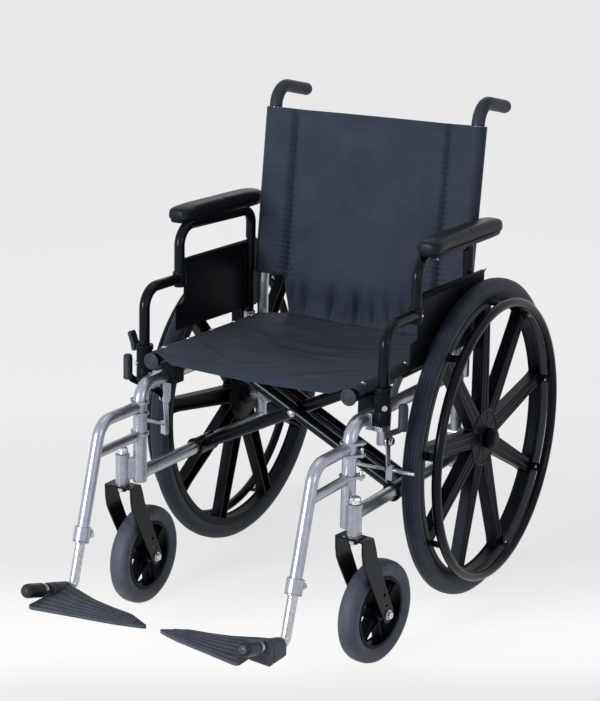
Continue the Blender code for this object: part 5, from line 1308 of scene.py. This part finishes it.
footplate = merged(tread, lofted(housing), *rib_lines)
twins("footplate_tread", footplate, plate_nylon, "footplate", "footplate", edge=0.0008)

# Wheel locks. Zinc-plated straps on a bracket round the upper rail. The lever
# has a vinyl grip, and the shoe's rod bears on the tyre.
LOCK_Y = -0.318
LOCK_Z = 0.374
LOCK_X = FRAME_X + TUBE_R + 0.0003
STRAP = 0.003
SHOE_X = LOCK_X + STRAP + 0.0004
LEVER_X = SHOE_X + STRAP + 0.0004
HEAD_X = LEVER_X + STRAP + 0.0004
bracket_outline = [
    *arc((LOCK_Y, LOCK_Z), 0.0110, 200, 340, 8),
    *mm("13.6 0, 11.2 25, 8 33.5, 6 35, -8 35, -10 33.5, -13.6 0", LOCK_Y, UPPER_RAIL_Z),
]
bracket = merged(
    plate(bracket_outline, LOCK_X, LOCK_X + STRAP, "x", [arc((LOCK_Y - 0.001, 0.449), 0.0034, 0, 330, 11)]),
    brick(
        (FRAME_X + 0.0135, LOCK_Y - 0.0135, UPPER_RAIL_Z + 0.0105),
        (LOCK_X + 0.001, LOCK_Y + 0.0135, UPPER_RAIL_Z + 0.0165),
    ),
)
twins("lock_plate", bracket, silver_coat, "side", "lock_bracket", edge=0.0006)
lock_bolt = merged(
    tube([(LOCK_X + 0.0005, LOCK_Y, LOCK_Z), (HEAD_X + 0.004, LOCK_Y, LOCK_Z)], 0.004, 18),
    lathed(band(0, 0.0088, 0, 0.0012), (HEAD_X, LOCK_Y, LOCK_Z), X_WAY, 28),
    lathed(mm("0 1, 7.2 1, 7.2 4.6, 6.4 5.4, 0 5.4"), (HEAD_X, LOCK_Y, LOCK_Z), X_WAY, 6),
    screw((LOCK_X + STRAP, LOCK_Y + 0.001, UPPER_RAIL_Z + 0.004), X_WAY, 1.3),
)
twins("lock_bolt", lock_bolt, zinc, "side", "lock_bracket", edge=0.0004)


def lock_eye(x):
    """The round end of a strap, with the bolt's hole in it."""
    hole = arc((LOCK_Y, LOCK_Z), 0.0044, 0, 345, 15)
    return plate(arc((LOCK_Y, LOCK_Z), 0.010, 0, 345, 23), x, x + STRAP, "x", [hole])


ROD_Z = 0.320
ROD_R = 0.0035
ROD_Y = -math.sqrt(WHEEL_R**2 - (ROD_Z - WHEEL_R) ** 2) - 0.0053 - ROD_R
shoe_outline = mm("-7.5 -4, 7.5 -4", LOCK_Y, LOCK_Z) + mm("6 324, 6 300, -7 300, -7 324", ROD_Y)
shoe = merged(lock_eye(SHOE_X), plate(shoe_outline, SHOE_X + 0.0002, SHOE_X + STRAP - 0.0002, "x"))
twins("lock_shoe_strap", shoe, silver_coat, "lock_shoe", "lock_shoe", edge=0.0005)
shoe_block = brick((SHOE_X, ROD_Y - 0.006, 0.301), (SHOE_X + 0.012, ROD_Y + 0.005, 0.328))
twins("lock_shoe_block", shoe_block, silver_coat, "lock_shoe", "lock_shoe", edge=0.0016)
rod_line = [(x, ROD_Y, ROD_Z) for x in (SHOE_X + 0.004, WHEEL_X + 0.0172, WHEEL_X + 0.018)]
shoe_rod = tube(rod_line, [ROD_R, ROD_R, ROD_R - 0.0008], 20)
twins("lock_shoe_rod", shoe_rod, zinc, "lock_shoe", "lock_shoe")
lever_foot = Vector((LEVER_X, LOCK_Y, LOCK_Z))
grip_foot = Vector((0.289, -0.366, 0.414))
foot_steps = ((0.0015, 0.002, -0.002), (0.0015, -0.013, 0.013), (0.0085, -0.019, 0.019))
grip_steps = ((-0.0065, 0.006, -0.001), (-0.0026, 0.003, 0.004))
strap_line = [lever_foot + Vector(step) for step in foot_steps]
strap_line += [grip_foot + Vector(step) for step in grip_steps]
across = Vector((0, 0.0049, 0.0049))
thick = X_WAY * 0.0013
corners = ((-1, -1), (1, -1), (1, 1), (-1, 1))
lever_rings = [[place + thick * a + across * b for a, b in corners] for place in strap_line]
lever = merged(lock_eye(LEVER_X), lofted(lever_rings))
twins("lock_lever_strap", lever, black_enamel, "lock_lever", "lock_lever", edge=0.0005)
grip_profile = mm("0 0, 8 0, 9 1.6, 9 5, 8.6 5.8, 8.6 40, 8 45, 6 47.2, 3 48, 0 48")
twins("lock_lever_grip", lathed(grip_profile, grip_foot, Z_WAY, 32), grip_vinyl, "lock_lever", "lock_lever")
